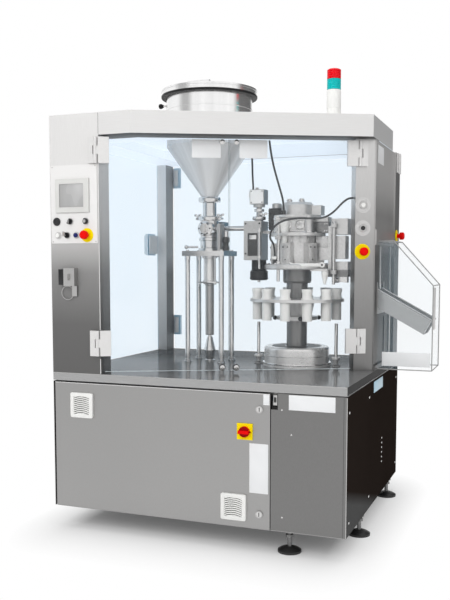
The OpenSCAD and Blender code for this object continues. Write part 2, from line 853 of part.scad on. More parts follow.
// Opening in the canopy's underside
under_y = column_d + canopy_under;
under_start = (under_y - canopy_under * cos(turn)) / sin(turn);
under_end = (canopy_right - canopy_under - bend_x + canopy_under * sin(turn)) / cos(turn);
under_plan = [[canopy_under, under_y], turned(under_start, canopy_under), turned(under_end, canopy_under),
    [canopy_right - canopy_under, side_end_y], [far_post_x - canopy_under, cabinet_d - canopy_under],
    [canopy_under, cabinet_d - canopy_under]];

module canopy() {
    color("gainsboro") placed() difference() {
        translate([0, 0, canopy_low]) linear_extrude(canopy_h) polygon(canopy_plan);
        translate([0, 0, canopy_low + canopy_t]) linear_extrude(canopy_h - 2 * canopy_t)
            polygon(inset(canopy_plan, canopy_t));
        translate([0, 0, canopy_low - cut]) linear_extrude(canopy_t + 2 * cut) polygon(under_plan);
        translate([dose_x, dose_y, canopy_low]) cylinder(r = hopper_r + 6, h = canopy_h + cut);
    }
}

module enclosure_frame() {
    rail = 52;
    sill = 24;
    start = turned(post_x + post_w, post_y).y;
    inner = wall_x - panel_t;
    color("silver") placed() {
        difference() {
            turned_front()
                capped_tube([post_x, post_y, table_z], [post_x + post_w, post_y + post_d, canopy_low],
                    post_t);
            for (z = [post_rows[0], post_rows[1]]) on_post(z) stem_hole(button_stem_r + run);
            on_post(post_rows[2]) stem_hole(stop_neck_r + run);
        }
        capped_tube([0, cabinet_d - rear_post_d, table_z], [rear_post_w, cabinet_d, canopy_low], post_t);
        difference() {
            capped_tube([far_post_x, far_post_y, table_z], [cabinet_w, far_post_y + far_post_d,
                canopy_low], post_t);
            on_far_post() stem_hole(stop_neck_r + run);
        }
        difference() {
            union() {
                box([inner, start - 4, table_z], [wall_x, far_post_y, canopy_low]);
                box([inner, start - 4, hood_top - 20], [wall_x + wall_rail, far_post_y, hood_top + rail]);
                box([inner, start + 4, table_z], [wall_x + wall_rail, far_post_y, table_z + sill]);
            }
            box([inner - cut, chute_y - chute_gap, chute_wall_z - chute_below],
                [wall_x + cut, chute_y + chute_w + chute_gap, chute_wall_z + chute_above]);
        }
    }
}

// Hinge whose pin stands on the Z axis: the fixed half runs to -x, and -y faces out
module hinge_fixed(leaf_w) {
    third = hinge_h / 3;
    difference() {
        union() {
            box([-leaf_w, -knuckle_r + 2, 0], [-knuckle_r - 2, pivot_out, hinge_h]);
            for (z = [0, 2 * third]) {
                translate([0, 0, z]) cylinder(r = knuckle_r, h = third - 0.5);
                box([-knuckle_r - 3, -knuckle_r + 2, z], [0, knuckle_r - 4, z + third - 0.5]);
            }
        }
    }
    cylinder(r = hinge_pin_r, h = hinge_h);
}

// Moving half of the same hinge: it runs to +x and lies on the outside of the glass
module hinge_moving() {
    third = hinge_h / 3;
    difference() {
        union() {
            translate([0, 0, third]) cylinder(r = knuckle_r, h = third - 0.5);
            box([0, -knuckle_r + 2, third], [glass_start + 2, knuckle_r - 4, 2 * third - 0.5]);
            box([knuckle_r + 3, -knuckle_r + 2, 0], [hinge_leaf_w, knuckle_r - 4, hinge_h]);
            box([glass_start + 1, -knuckle_r + 2, 0], [hinge_leaf_w, glass_back, hinge_h]);
        }
        translate([0, 0, -cut]) cylinder(r = hinge_pin_r + run, h = hinge_h + 2 * cut);
    }
    box([glass_start + 4, glass_back + glass_t, 12], [hinge_leaf_w - 6, glass_back + glass_t + 5,
        hinge_h - 12]);
}

module hinge_pair() {
    for (z = hinge_tops) translate([0, 0, z]) children();
}

module at_left_pivot() {
    translate([left_pivot_x, -pivot_out, 0]) children();
}

module at_left_door() {
    turned_front() translate([left_pivot_along, pivot_y, 0]) children();
}

module at_right_door() {
    turned_front() translate([right_pivot_along, pivot_y, 0]) mirror([1, 0, 0]) children();
}

module at_side_door() {
    translate([side_pivot.x, side_pivot.y, 0]) rotate([0, 0, 90]) mirror([0, 1, 0]) children();
}

module at_rear_door() {
    translate([rear_pivot.x, rear_pivot.y, 0]) mirror([0, 1, 0]) children();
}

module hinge_leaves() {
    color("whitesmoke") placed() {
        at_left_pivot() hinge_pair() hinge_fixed(36);
        at_right_door() hinge_pair() hinge_fixed(34);
        at_side_door() hinge_pair() hinge_fixed(34);
        at_rear_door() hinge_pair() hinge_fixed(34);
    }
}

// Pane of a door, in the frame of its hinge
module pane(w) {
    box([glass_start, glass_back, glass_low], [glass_start + w, glass_back + glass_t, glass_high]);
}

// Round catch through the glass near its free edge
module catch(w, z) {
    translate([glass_start + w - 31, 0, z]) rotate([-90, 0, 0]) {
        translate([0, 0, glass_back - 14]) cylinder(r = catch_r, h = 14);
        translate([0, 0, glass_back + glass_t]) cylinder(r = catch_r - 2, h = 6);
    }
}

module front_fittings(w) {
    hinge_pair() hinge_moving();
    for (z = [glass_low + catch_r + 2, glass_high - catch_r - 2]) catch(w, z);
}

// Lock box with a pull bow on a door's glass
module pull_handle(w, z) {
    translate([glass_start + w - 118, 0, z]) {
        box([0, glass_back - 16, 0], [100, glass_back, 125]);
        box([0, glass_back + glass_t, 10], [100, glass_back + glass_t + 6, 115]);
        for (h = [8, 105]) box([38, glass_back - handle_out + 2, h], [50, glass_back - 15, h + 12]);
        box([36, glass_back - handle_out, 8], [52, glass_back - handle_out + 10, 117]);
    }
}

module front_left_glass() {
    color("lightblue", 0.4) placed() at_left_door() pane(left_glass_w);
}

module front_left_fittings() {
    color("whitesmoke") placed() at_left_door() front_fittings(left_glass_w);
}

module front_right_glass() {
    color("lightblue", 0.4) placed() at_right_door() pane(right_glass_w);
}

module front_right_fittings() {
    color("whitesmoke") placed() at_right_door() front_fittings(right_glass_w);
}

module side_door_glass() {
    color("lightblue", 0.4) placed() at_side_door() pane(side_glass_w);
}

module side_door_fittings() {
    color("whitesmoke") placed() at_side_door() {
        hinge_pair() hinge_moving();
        pull_handle(side_glass_w, pull_z);
    }
}

module rear_door_glass() {
    color("lightblue", 0.4) placed() at_rear_door() pane(rear_glass_w);
}

module rear_door_fittings() {
    color("whitesmoke") placed() at_rear_door() {
        hinge_pair() hinge_moving();
        pull_handle(rear_glass_w, pull_z);
    }
}

// Outfeed
// The chute's channel, drawn along its slope; shrink leaves only the space inside
module chute_channel(shrink) {
    back = -chute_in / cos(chute_slope) - shrink * 100;
    front = chute_out / cos(chute_slope) + shrink * 100;
    wall = shrink * chute_t;
    translate([cabinet_w, chute_y, chute_wall_z]) rotate([0, chute_slope, 0])
        box([back, wall, wall], [front, chute_w - wall, chute_h + shrink * 100]);
}

module outfeed_chute() {
    edge = chute_gap + chute_flange;
    color("silver") placed() difference() {
        union() {
            chute_channel(0);
            box([wall_x, chute_y - edge, chute_wall_z - chute_below - chute_flange],
                [wall_x + panel_t, chute_y + chute_w + edge, chute_wall_z + chute_above + chute_flange]);
        }
        chute_channel(1);
    }
}

module hood_panels() {
    low = table_z + 2;
    outline = [[hood_left, low], [hood_right, low], [hood_right, hood_eave],
        [cabinet_w + hood_shoulder, hood_top], [hood_left, hood_top]];
    run_x = hood_out - hood_shoulder;
    fall = hood_top - hood_eave;
    color("aliceblue", 0.4) placed() {
        for (y = [hood_y, hood_y + hood_d - hood_t])
            translate([0, y + hood_t, 0]) rotate([90, 0, 0]) linear_extrude(hood_t) polygon(outline);
        difference() {
            translate([0, hood_y + hood_d - hood_t, 0]) rotate([90, 0, 0])
                linear_extrude(hood_d - 2 * hood_t) difference() {
                polygon(outline);
                polygon([[hood_left - cut, low - cut], [hood_right - hood_t, low - cut],
                    [hood_right - hood_t, hood_eave - hood_t / 2],
                    [cabinet_w + hood_shoulder - hood_t * fall / (run_x + fall), hood_top - hood_t],
                    [hood_left - cut, hood_top - hood_t]]);
            }
        }
    }
}

module signal_tower() {
    lens_z = canopy_top + tower_base_h;
    color("white") placed() translate([turret_x + 180, turret_y, 0]) {
        translate([0, 0, canopy_top]) rotate_extrude() polygon([[0, 0], [tower_r + 12, 0],
            [tower_r + 12, 8],
            [tower_r, 14], [tower_r, tower_base_h], [0, tower_base_h]]);
        translate([0, 0, lens_z]) cylinder(r = tower_r - 1, h = lens_h);
        translate([0, 0, lens_z + lens_h]) rotate_extrude() polygon([[0, 0], [tower_r - 1, 0],
            [tower_r - 1, lens_h - 8], [tower_r - 6, lens_h - 2], [tower_r - 14, lens_h], [0, lens_h]]);
    }
}

// Dosing unit
module at_dose(z) {
    translate([dose_x, dose_y, z]) children();
}

module hopper() {
    t = hopper_t;
    color("silver") placed() at_dose(0) {
        rotate_extrude() polygon([[outlet_r - t, hopper_z], [outlet_r + 12, hopper_z], [outlet_r + 12,
            hopper_z + 6],
            [outlet_r, hopper_z + 12], [hopper_r, cone_top], [hopper_r, hopper_top], [rim_r, hopper_top],
            [rim_r, hopper_top + rim_h], [hopper_r - t, hopper_top + rim_h], [hopper_r - t,
                cone_top + t / 2],
            [outlet_r - t, hopper_z + 14]]);
        difference() {
            for (x = [-44, 30]) {
                box([x, rim_r - 6, hopper_top + 2], [x + 14, lid_pin_y + lid_ear_r, lid_z - 2]);
                box([x, lid_pin_y - lid_ear_r, lid_z - 2 - cut], [x + 14, lid_pin_y + lid_ear_r, lid_pin_z]);
                translate([x, lid_pin_y, lid_pin_z]) rotate([0, 90, 0]) cylinder(r = lid_ear_r, h = 14);
            }
            cylinder(r = rim_r - 2, h = hopper_top + rim_h);
        }
        translate([-44, lid_pin_y, lid_pin_z]) rotate([0, 90, 0]) cylinder(r = lid_pin_r, h = 88);
        rotate([0, 0, 160]) translate([hopper_r - 1, -9, hopper_top - 70]) {
            cube([rim_r + 9 - hopper_r, 18, 8]);
            translate([rim_r + 1 - hopper_r, 9, 8]) cylinder(r = 9, h = 20);
        }
    }
}

module hopper_lid() {
    color("silver") placed() at_dose(lid_z) {
        rotate_extrude() polygon([[0, run], [rim_r + 2, run], [rim_r + 2, lid_t - 3], [rim_r - 3,
            lid_t], [0, lid_t + 3]]);
        difference() {
            union() {
                translate([-28, lid_pin_y, lid_t / 2]) rotate([0, 90, 0]) cylinder(r = lid_knuckle_r,
                    h = 56);
                box([-28, rim_r - 8, run], [28, lid_pin_y, lid_t - 2]);
            }
            translate([-30, lid_pin_y, lid_t / 2]) rotate([0, 90, 0]) cylinder(r = lid_pin_r + run, h = 60);
        }
        for (x = [-60, 46]) translate([x, -rim_r * 0.6, 0]) cube([14, 14, 32]);
        translate([-60, -rim_r * 0.6, 28]) cube([120, 14, 10]);
    }
}

module valve_body() {
    color("silver") placed() difference() {
        union() {
            at_dose(stand_z) rotate_extrude() polygon([[0, 0], [valve_r + 10, 0], [valve_r + 10, 14],
                [valve_r, 18],
                [valve_r, 52], [valve_r + 8, 55], [valve_r + 8, 67], [valve_r, 70], [valve_r, valve_h - 20],
                [valve_r + 9, valve_h - 17], [valve_r + 9, valve_h - 4], [outlet_r - 4, valve_h],
                [outlet_r - 4, hopper_z - stand_z - 18], [outlet_r + 12, hopper_z - stand_z - 10],
                [outlet_r + 12, hopper_z - stand_z], [0, hopper_z - stand_z]]);
            at_dose(rotor_z) translate([0, valve_r + 22, 0]) rotate([90, 0, 0])
                cylinder(r = rotor_r + 12, h = 2 * valve_r + 34);
            at_dose(rotor_z) rotate([0, 90, 0]) cylinder(r = pipe_r + 7, h = valve_r + 30);
            at_dose(rotor_z) translate([valve_r + 22, 0, 0]) rotate([0, 90, 0])
                cylinder(r = pipe_r + 13, h = 8);
            at_dose(rotor_z - 40) box([-45, valve_r + 22, 0], [45, valve_r + 110, 80]);
        }
        at_dose(stand_z - cut) cylinder(r = port_r, h = hopper_z - stand_z + 2 * cut);
        at_dose(rotor_z) translate([0, valve_r + 40, 0]) rotate([90, 0, 0]) cylinder(r = rotor_r + run,
            h = 2 * valve_r + 90);
        at_dose(rotor_z) rotate([0, 90, 0]) cylinder(r = pipe_r - 2, h = valve_r + 40);
    }
}

module valve_rotor() {
    front = valve_r + 12 + run;
    color("lightgray") placed() at_dose(rotor_z) {
        difference() {
            translate([0, valve_r + 38, 0]) rotate([90, 0, 0]) cylinder(r = rotor_r, h = 2 * valve_r + 52);
            translate([0, 0, -rotor_r - cut]) cylinder(r = port_r - 2, h = 2 * rotor_r + 2 * cut);
            rotate([0, -90, 0]) cylinder(r = port_r - 2, h = rotor_r + cut);
        }
        translate([0, -front, 0]) rotate([90, 0, 0]) rotate_extrude() polygon([[0, 0], [rotor_r + 8, 0],
            [rotor_r + 8, 6], [rotor_r - 4, 12], [0, 12]]);
        box([-5, -front - 22, -rotor_r * 0.7], [5, -front - 8, rotor_r * 0.7]);
    }
}

module dosing_stand() {
    edge = 22;
    color("silver") placed() at_dose(0) {
        difference() {
            box([-stand_w / 2 - edge, -stand_d / 2 - edge, plate_under], [stand_w / 2 + edge,
                stand_d / 2 + edge, stand_z]);
            translate([0, 0, plate_under - cut]) cylinder(r = port_r, h = stand_t + 2 * cut);
        }
        for (x = [-stand_w / 2, stand_w / 2]) for (y = [-stand_d / 2, stand_d / 2]) translate([x, y, 0]) {
            translate([0, 0, table_z]) cylinder(r = stand_r, h = plate_under - table_z);
            translate([0, 0, table_z]) cylinder(r = stand_r + 8, h = 12);
            translate([0, 0, plate_under - 20]) cylinder(r = stand_r + 5, h = 20);
        }
        difference() {
            translate([0, 0, table_z]) rotate_extrude() polygon([[0, 0], [26, 0], [26, 6], [20, 10],
                [31, bush_h * 0.45],
                [rod_r + 5, bush_h], [0, bush_h]]);
            translate([0, 0, table_z - cut]) cylinder(r = rod_r + run, h = bush_h + 2 * cut);
        }
    }
}

module dosing_cylinder() {
    outer = bore_r + bore_wall;
    color("gainsboro") placed() at_dose(cylinder_z) difference() {
        rotate_extrude() polygon([[0, 0], [outer + 6, 0], [outer + 6, cylinder_floor], [outer,
            cylinder_floor + 3],
            [outer, bore_h - 13], [outer + 8, bore_h - 10], [outer + 8, bore_h], [0, bore_h]]);
        translate([0, 0, cylinder_floor]) cylinder(r = bore_r, h = bore_h);
        translate([0, 0, -cut]) cylinder(r = rod_r + run, h = cylinder_floor + 2 * cut);
    }
}

module dosing_piston() {
    color("lightgray") placed() at_dose(0) {
        translate([0, 0, cylinder_z + cylinder_floor + run]) cylinder(r = bore_r - run, h = piston_h);
        translate([0, 0, rod_low]) cylinder(r = rod_r,
            h = cylinder_z + cylinder_floor + piston_h - rod_low);
    }
}

module product_line() {
    start = dose_x + valve_r + 30;
    tip = holder_z + holder_h + 30;
    color("silver") placed() difference() {
        union() {
            translate([start, dose_y, rotor_z]) rotate([0, 90, 0]) cylinder(r = pipe_r, h = fill_x - start);
            translate([start, dose_y, rotor_z]) rotate([0, 90, 0]) cylinder(r = pipe_r + 13, h = 8);
            translate([fill_x, turret_y, rotor_z]) sphere(r = pipe_r + 4);
            translate([fill_x, turret_y, tip]) rotate_extrude() polygon([[0, 0], [7, 0], [pipe_r, 40],
                [pipe_r, rotor_z - tip], [0, rotor_z - tip]]);
        }
        translate([start - cut, dose_y, rotor_z]) rotate([0, 90, 0]) cylinder(r = pipe_r - 3,
            h = fill_x - start + cut);
        translate([fill_x, turret_y, tip - cut]) cylinder(r = 4, h = rotor_z - tip + cut);
    }
}

module fill_head() {
    hw = 76;
    hd = 110;
    low = head_z + 116;
    high = rotor_z + 34;
    neck_r = min(38, pitch_r - carrier_r - 2);
    wide = carrier_z - head_z - 15;
    color("gray") placed() translate([fill_x, turret_y, 0]) {
        difference() {
            union() {
                box([-hw + 12, -hd / 2, low], [12 + 18, hd / 2, high]);
                translate([0, 0, head_z + 13]) rotate_extrude() polygon([[0, 0], [40, 0], [46, 8],
                    [46, wide - 8], [neck_r, wide], [neck_r, low - head_z - 12], [0, low - head_z - 12]]);
                box([20, -24, head_plate_z], [turret_x - fill_x - 90, 24, head_plate_z + 16]);
            }
            translate([0, 0, head_z]) cylinder(r = pipe_r + run, h = rotor_z - head_z);
            translate([0, 0, rotor_z]) sphere(r = pipe_r + 4 + run);
            translate([-hw - cut, 0, rotor_z]) rotate([0, 90, 0]) cylinder(r = pipe_r + run, h = hw + cut);
        }
        translate([0, 0, high]) cylinder(r = 22, h = 26);
        translate([0, 0, high + 26]) cylinder(r = 14, h = 46);
        translate([0, 0, high + 72]) cylinder(r = 30, h = 14);
        box([-40, -34, high + 86], [36, 34, high + 160]);
        translate([-12, 0, high + 160]) cylinder(r = 8, h = 12);
    }
}

// Turret
module at_turret(z) {
    translate([turret_x, turret_y, z]) children();
}

module turret_drum() {
    round_r = 14;
    color("silver") placed() at_turret(table_z) difference() {
        union() {
            rotate_extrude() {
                square([drum_r - round_r, drum_h]);
                square([drum_r, drum_h - round_r]);
                translate([drum_r - round_r, drum_h - round_r]) circle(r = round_r);
            }
            cylinder(r = drum_r + 9, h = 16);
        }
        translate([0, 0, -cut]) cylinder(r = core_r, h = drum_h + 2 * cut);
        translate([0, 0, drum_h - 4]) ring(drum_r - 40, sleeve_r + 6, 5);
    }
}

module turret_column() {
    color("dimgray") placed() at_turret(0) {
        translate([0, 0, table_z]) cylinder(r = core_r, h = head_z - table_z);
        translate([0, 0, disc_z + disc_t + run]) cylinder(r = sleeve_r + 2,
            h = head_z - disc_z - disc_t - run);
    }
}

module turret_head() {
    top = head_z + head_tall;
    arm = eject_x - turret_x;
    color("lightgray") placed() at_turret(0) {
        translate([0, 0, head_z]) rotate_extrude() polygon([[0, 0], [66, 0], [72, 10], [72,
            carrier_z - head_z], [0, carrier_z - head_z]]);
        translate([0, 0, carrier_z]) rotate_extrude() polygon([[0, 0], [carrier_r - 5, 0], [carrier_r, 5],
            [carrier_r, carrier_t - 5], [carrier_r - 5, carrier_t], [0, carrier_t]]);
        translate([0, 0, carrier_z + carrier_t]) cylinder(r = 98, h = 140);
        for (a = [20 : 60 : 320]) rotate([0, 0, a]) box([84, -26, carrier_z + carrier_t], [132, 26,
            carrier_z + carrier_t + 104]);
        translate([0, 0, head_plate_z - 14]) cylinder(r = 142, h = 14);
        translate([hose_stub.x, hose_stub.y, carrier_z + carrier_t]) cylinder(r = 9, h = hose_stub.z);
        for (a = [45 : 90 : 315]) rotate([0, 0, a]) translate([112, 0, head_plate_z]) cylinder(r = 20,
            h = 86);
        translate([0, 0, head_plate_z]) box([-84, -84, 0], [84, 84, 78]);
        translate([0, 0, carrier_z + 259]) cylinder(r = 118, h = 12);
        translate([0, 0, carrier_z + 271]) cylinder(r = 82, h = top - carrier_z - 299);
        translate([0, 0, top - 28]) cylinder(r1 = 82, r2 = 70, h = 14);
        for (p = [[-34, -30], [30, -34], [10, 40]]) translate([p.x, p.y, top - 16]) cylinder(r = 13,
            h = 16);
        box([66, -20, carrier_z + 271], [126, 52, top - 30]);
        box([arm - 34, -46, jaw_z], [arm - 18, 46, carrier_z + 214]);
        box([118, -30, carrier_z + carrier_t + 20], [arm - 30, 30, carrier_z + carrier_t + 84]);
        box([arm - 18, -44, carrier_z + 172], [arm + 62, 44, carrier_z + 250]);
        box([arm - 18, -38, carrier_z + 52], [arm + 50, 38, carrier_z + 166]);
        difference() {
            box([arm - 18, -34, jaw_z], [arm + 62, 34, carrier_z + 40]);
            box([arm - 18 - cut, -jaw_tongue - run, jaw_z - cut], [arm + 62 + cut, jaw_tongue + run,
                jaw_z + 12]);
        }
    }
}

module seal_jaw() {
    arm = eject_x - turret_x;
    top = jaw_z - run;
    color("silver") placed() at_turret(0) {
        box([arm - 12, -40, top - 30], [arm + 4, 40, top]);
        translate([arm + 4 - cut, 0, top - 15]) rotate([0, 90, 0]) cylinder(r = 9, h = 48);
        box([arm + 40, -20, top - 28], [arm + 56, 20, top]);
        box([arm + 10, -jaw_tongue, top - 26], [arm + 48, jaw_tongue, jaw_z + 12 - run]);
    }
}

module index_disc() {
    color("silver") placed() at_turret(0) difference() {
        union() {
            translate([0, 0, drum_top + run]) cylinder(r = sleeve_r, h = disc_z - drum_top);
            translate([0, 0, disc_z - 92]) cylinder(r = 106, h = 16);
            for (a = [0 : 90 : 270]) rotate([0, 0, a + 25]) translate([112, 0, disc_z - 84]) sphere(r = 11);
            translate([0, 0, disc_z - 76]) cylinder(r1 = 74, r2 = 90, h = 76 + cut);
            translate([0, 0, disc_z]) cylinder(r = disc_r, h = disc_t);
        }
        translate([0, 0, drum_top - cut]) cylinder(r = core_r + run,
            h = disc_z + disc_t - drum_top + 2 * cut);
        for (i = [0 : stations - 1]) rotate([0, 0, 360 * i / stations]) translate([pitch_r, 0,
            disc_z - cut])
            cylinder(r = holder_r + run, h = disc_t + 2 * cut);
    }
}

module tube_holders() {
    above = holder_h - (disc_z + disc_t - holder_z);
    color("whitesmoke") placed() at_turret(0) for (i = [0 : stations - 1]) rotate([0, 0,
        360 * i / stations])
        translate([pitch_r, 0, 0]) difference() {
            union() {
                translate([0, 0, holder_z]) cylinder(r = holder_r, h = holder_h);
                translate([0, 0, disc_z + disc_t]) cylinder(r = holder_r + 5, h = 8);
                translate([0, 0, holder_z + holder_h - above * 0.3]) cylinder(r = holder_r + 3,
                    h = above * 0.3);
            }
            translate([0, 0, holder_z + holder_floor]) cylinder(r = socket_r, h = holder_h);
            translate([0, 0, holder_z - cut]) cylinder(r = holder_hole, h = holder_floor + 2 * cut);
        }
}

module lift_rod(x) {
    color("silver") placed() translate([x, turret_y, 0]) {
        translate([0, 0, lift_low]) cylinder(r = lift_r, h = lift_top - lift_low);
        translate([0, 0, lift_low]) cylinder(r = lift_r + 9, h = 24);
    }
}

module fill_lift_rod() {
    lift_rod(fill_x);
}

module eject_lift_rod() {
    lift_rod(eject_x);
}

module drive_units() {
    gear = 240;
    gear_h = 170;
    motor_r = 60;
    color("slategray") placed() {
        at_turret(under_z - gear_h) box([-gear / 2, -gear / 2, 0], [gear / 2, gear / 2, gear_h]);
        at_turret(under_z - tube_w - motor_r - 10) translate([0, gear / 2 - cut, 0]) rotate([-90, 0, 0])
            cylinder(r = motor_r, h = 190);
        at_turret(under_z - gear_h - 120) cylinder(r = 70, h = 120 + cut);
        at_dose(drive_low) difference() {
            cylinder(r = 40, h = under_z - drive_low);
            translate([0, 0, rod_low - drive_low - 20]) cylinder(r = rod_r + run, h = under_z);
        }
    }
}

module air_hoses() {
    color("black") placed() for (p = [hose_head, hose_fill, hose_post]) swept_tube(eased(p, 3), hose_r,
        hose_sides);
}

base_frame();
worktop();
base_panels();
levelling_feet();
base_door();
fan_filters();
switch_plate();
switch_knob();
door_lock_upper();
door_lock_lower();
control_column();
control_panel();
touch_screen();
column_latch();
latch_key();
button_bezels();
estop_collars();
panel_estop();
post_estop();
rear_estop();
panel_white_button();
panel_blue_button();
mode_selector();
speed_knob();
key_selector();
post_white_button();
post_black_button();
enclosure_frame();
canopy();
hinge_leaves();
front_left_glass();
front_left_fittings();
front_right_glass();
front_right_fittings();
side_door_glass();
side_door_fittings();
rear_door_glass();
rear_door_fittings();
outfeed_chute();
hood_panels();
signal_tower();
hopper();
hopper_lid();
valve_body();
valve_rotor();
dosing_stand();
dosing_cylinder();
dosing_piston();
product_line();
fill_head();
turret_drum();
turret_column();
turret_head();
seal_jaw();
index_disc();
tube_holders();
fill_lift_rod();
eject_lift_rod();
drive_units();
air_hoses();
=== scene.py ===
import math
import bpy
from mathutils import Matrix, Vector


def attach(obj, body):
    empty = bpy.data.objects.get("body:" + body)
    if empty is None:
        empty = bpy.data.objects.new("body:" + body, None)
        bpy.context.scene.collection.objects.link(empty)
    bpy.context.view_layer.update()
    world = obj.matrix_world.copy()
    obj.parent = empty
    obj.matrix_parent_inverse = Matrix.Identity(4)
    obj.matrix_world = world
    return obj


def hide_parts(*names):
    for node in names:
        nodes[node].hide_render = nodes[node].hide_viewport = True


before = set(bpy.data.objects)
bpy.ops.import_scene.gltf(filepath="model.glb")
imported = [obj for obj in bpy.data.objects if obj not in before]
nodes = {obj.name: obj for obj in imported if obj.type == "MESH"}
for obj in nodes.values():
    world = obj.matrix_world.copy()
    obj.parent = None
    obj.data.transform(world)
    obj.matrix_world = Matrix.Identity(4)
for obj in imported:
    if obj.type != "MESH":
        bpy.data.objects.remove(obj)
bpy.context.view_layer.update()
print("frame loaded:", len(nodes), "nodes")

# Sizes are in millimetres from the cabinet's front left corner on the floor
mm = 0.001
planSet = {"middle": (822.5, 616.5), "bend": 423, "slant": (505, 994)}
middleX, middleY = planSet["middle"]
frontTurn = math.atan2(*planSet["slant"])
up, front, right = (0, 0, 1), (0, -1, 0), (1, 0, 0)


def spot(x, y, z):
    return Vector(((x - middleX) * mm, (y - middleY) * mm, z * mm))


machineSpace = Matrix.Translation(spot(0, 0, 0))
doorSpace = Matrix.Translation(spot(planSet["bend"], 0, 0)) @ Matrix.Rotation(frontTurn, 4, "Z")

# Camera at the photo's place
cameraSet = {"place": (2177.3, -3343.0, 1254.1), "turn": 21.23, "down": 4.73,
             "data": {"lens": 49.46, "shift_y": 0.0566, "sensor_width": 36, "clip_end": 200}}
bpy.ops.object.camera_add(location=spot(*cameraSet["place"]),
                          rotation=(math.radians(90 - cameraSet["down"]), 0,
                                    math.radians(cameraSet["turn"])))
camera = bpy.context.object
camera.name = "photoCamera"
for key, value in cameraSet["data"].items():
    setattr(camera.data, key, value)
bpy.context.scene.camera = camera
bpy.context.scene.view_settings.view_transform = "Standard"


# Shader helpers: a wire is a socket that takes part in sums
class Wire:
    def __init__(self, finish, socket):
        self.finish = finish
        self.socket = socket

    def maths(self, operation, first, second):
        return self.finish.node("ShaderNodeMath", {"operation": operation}, {0: first, 1: second})

    def __add__(self, other):
        return self.maths("ADD", self, other)

    def __radd__(self, other):
        return self.maths("ADD", other, self)

    def __sub__(self, other):
        return self.maths("SUBTRACT", self, other)

    def __rsub__(self, other):
        return self.maths("SUBTRACT", other, self)

    def __mul__(self, other):
        return self.maths("MULTIPLY", self, other)

    def __rmul__(self, other):
        return self.maths("MULTIPLY", other, self)

    def __gt__(self, other):
        return self.maths("GREATER_THAN", self, other)

    def __lt__(self, other):
        return self.maths("LESS_THAN", self, other)


class Finish:
    def __init__(self, tree):
        self.tree = tree

    def node(self, kind, settings=None, inputs=None, output=0):
        made = self.tree.nodes.new(kind)
        for key, value in (settings or {}).items():
            if key == "stops":
                marks = made.color_ramp.elements
                marks[0].position, marks[0].color = value[0]
                marks[1].position, marks[1].color = value[-1]
                for place, colour in value[1:-1]:
                    marks.new(place).color = colour
            else:
                setattr(made, key, value)
        for key, value in (inputs or {}).items():
            if isinstance(value, Wire):
                self.tree.links.new(value.socket, made.inputs[key])
            else:
                made.inputs[key].default_value = value
        return Wire(self, made.outputs[output]) if len(made.outputs) else None

    def socket(self, key):
        return self.tree.nodes["Principled BSDF"].inputs[key.replace("_", " ")]

    def where(self):
        return self.node("ShaderNodeTexCoord", output="Object")

    def noise(self, scale, detail=3.0, stretch=(1, 1, 1)):
        moved = self.node("ShaderNodeMapping", None, {"Vector": self.where(), "Scale": stretch})
        return self.node("ShaderNodeTexNoise", None,
                         {"Vector": moved, "Scale": scale, "Detail": detail})

    def vector(self, operation, first, second=(0, 0, 0), output=0):
        return self.node("ShaderNodeVectorMath", {"operation": operation}, {0: first, 1: second},
                         output)

    def part(self, vector, axis):
        return self.node("ShaderNodeSeparateXYZ", None, {0: vector}, axis)

    def along(self, axis):
        return self.part(self.where(), axis)

    def facing(self, axis):
        return self.part(self.node("ShaderNodeNewGeometry", output="Normal"), axis)

    def faces(self, axis, limit=0.7):
        # 1 where the surface looks along the axis, or against it for a limit below 0
        return self.facing(axis) > limit if limit > 0 else self.facing(axis) < limit

    def blend(self, factor, first, second, mode="MIX"):
        return self.node("ShaderNodeMix", {"data_type": "RGBA", "blend_type": mode},
                         {0: factor, 6: first, 7: second}, 2)

    def span(self, value, low, high):
        return self.node("ShaderNodeMapRange", {"clamp": True},
                         {0: value, 1: low, 2: high, 3: 0.0, 4: 1.0})

    def fade(self, value, span, first, second):
        return self.blend(self.span(value, *span), first, second)

    def brushed(self, grain, share=0.6):
        # Brush lines, slow clouds, clear marks, and marks mixed with clouds
        lines, cloud = self.noise(1.0, 4.0, grain), self.noise(2.6, 4.0)
        marks = self.span(lines, 0.25, 0.75)
        return lines, cloud, marks, marks * share + cloud * (1 - share)

    def rise(self, tone, tones):
        # Tone over the height, as (height in metres, share of the full tone)
        low, high = tones[0][0], tones[-1][0]
        stops = [((z - low) / (high - low), grey(share)) for z, share in tones]
        ramp = self.node("ShaderNodeValToRGB", {"stops": stops},
                         {0: self.span(self.along("Z"), low, high)})
        return self.blend(1.0, tone, ramp, "MULTIPLY")

    def bump(self, height, strength, distance=0.001):
        return self.node("ShaderNodeBump", None,
                         {"Strength": strength, "Distance": distance, "Height": height})


def startFinish(name, **fixed):
    material = bpy.data.materials.new(name)
    material.use_nodes = True
    finish = Finish(material.node_tree)
    for key, value in fixed.items():
        finish.socket(key).default_value = value
    return material, finish


def plug(finish, **wires):
    for key, wire in wires.items():
        finish.tree.links.new(wire.socket, finish.socket(key))


def grey(level, warm=0.0):
    return (level * (1 + warm), level, level * (1 - warm), 1)


def shade(colour, share=1.0):
    return (colour[0] * share, colour[1] * share, colour[2] * share, 1)


# Brushed, ground or polished steel: grain gives the scale of the brush marks on each axis
steelSet = {"warmDark": 0.012, "warmLight": 0.008, "smudge": 0.2}


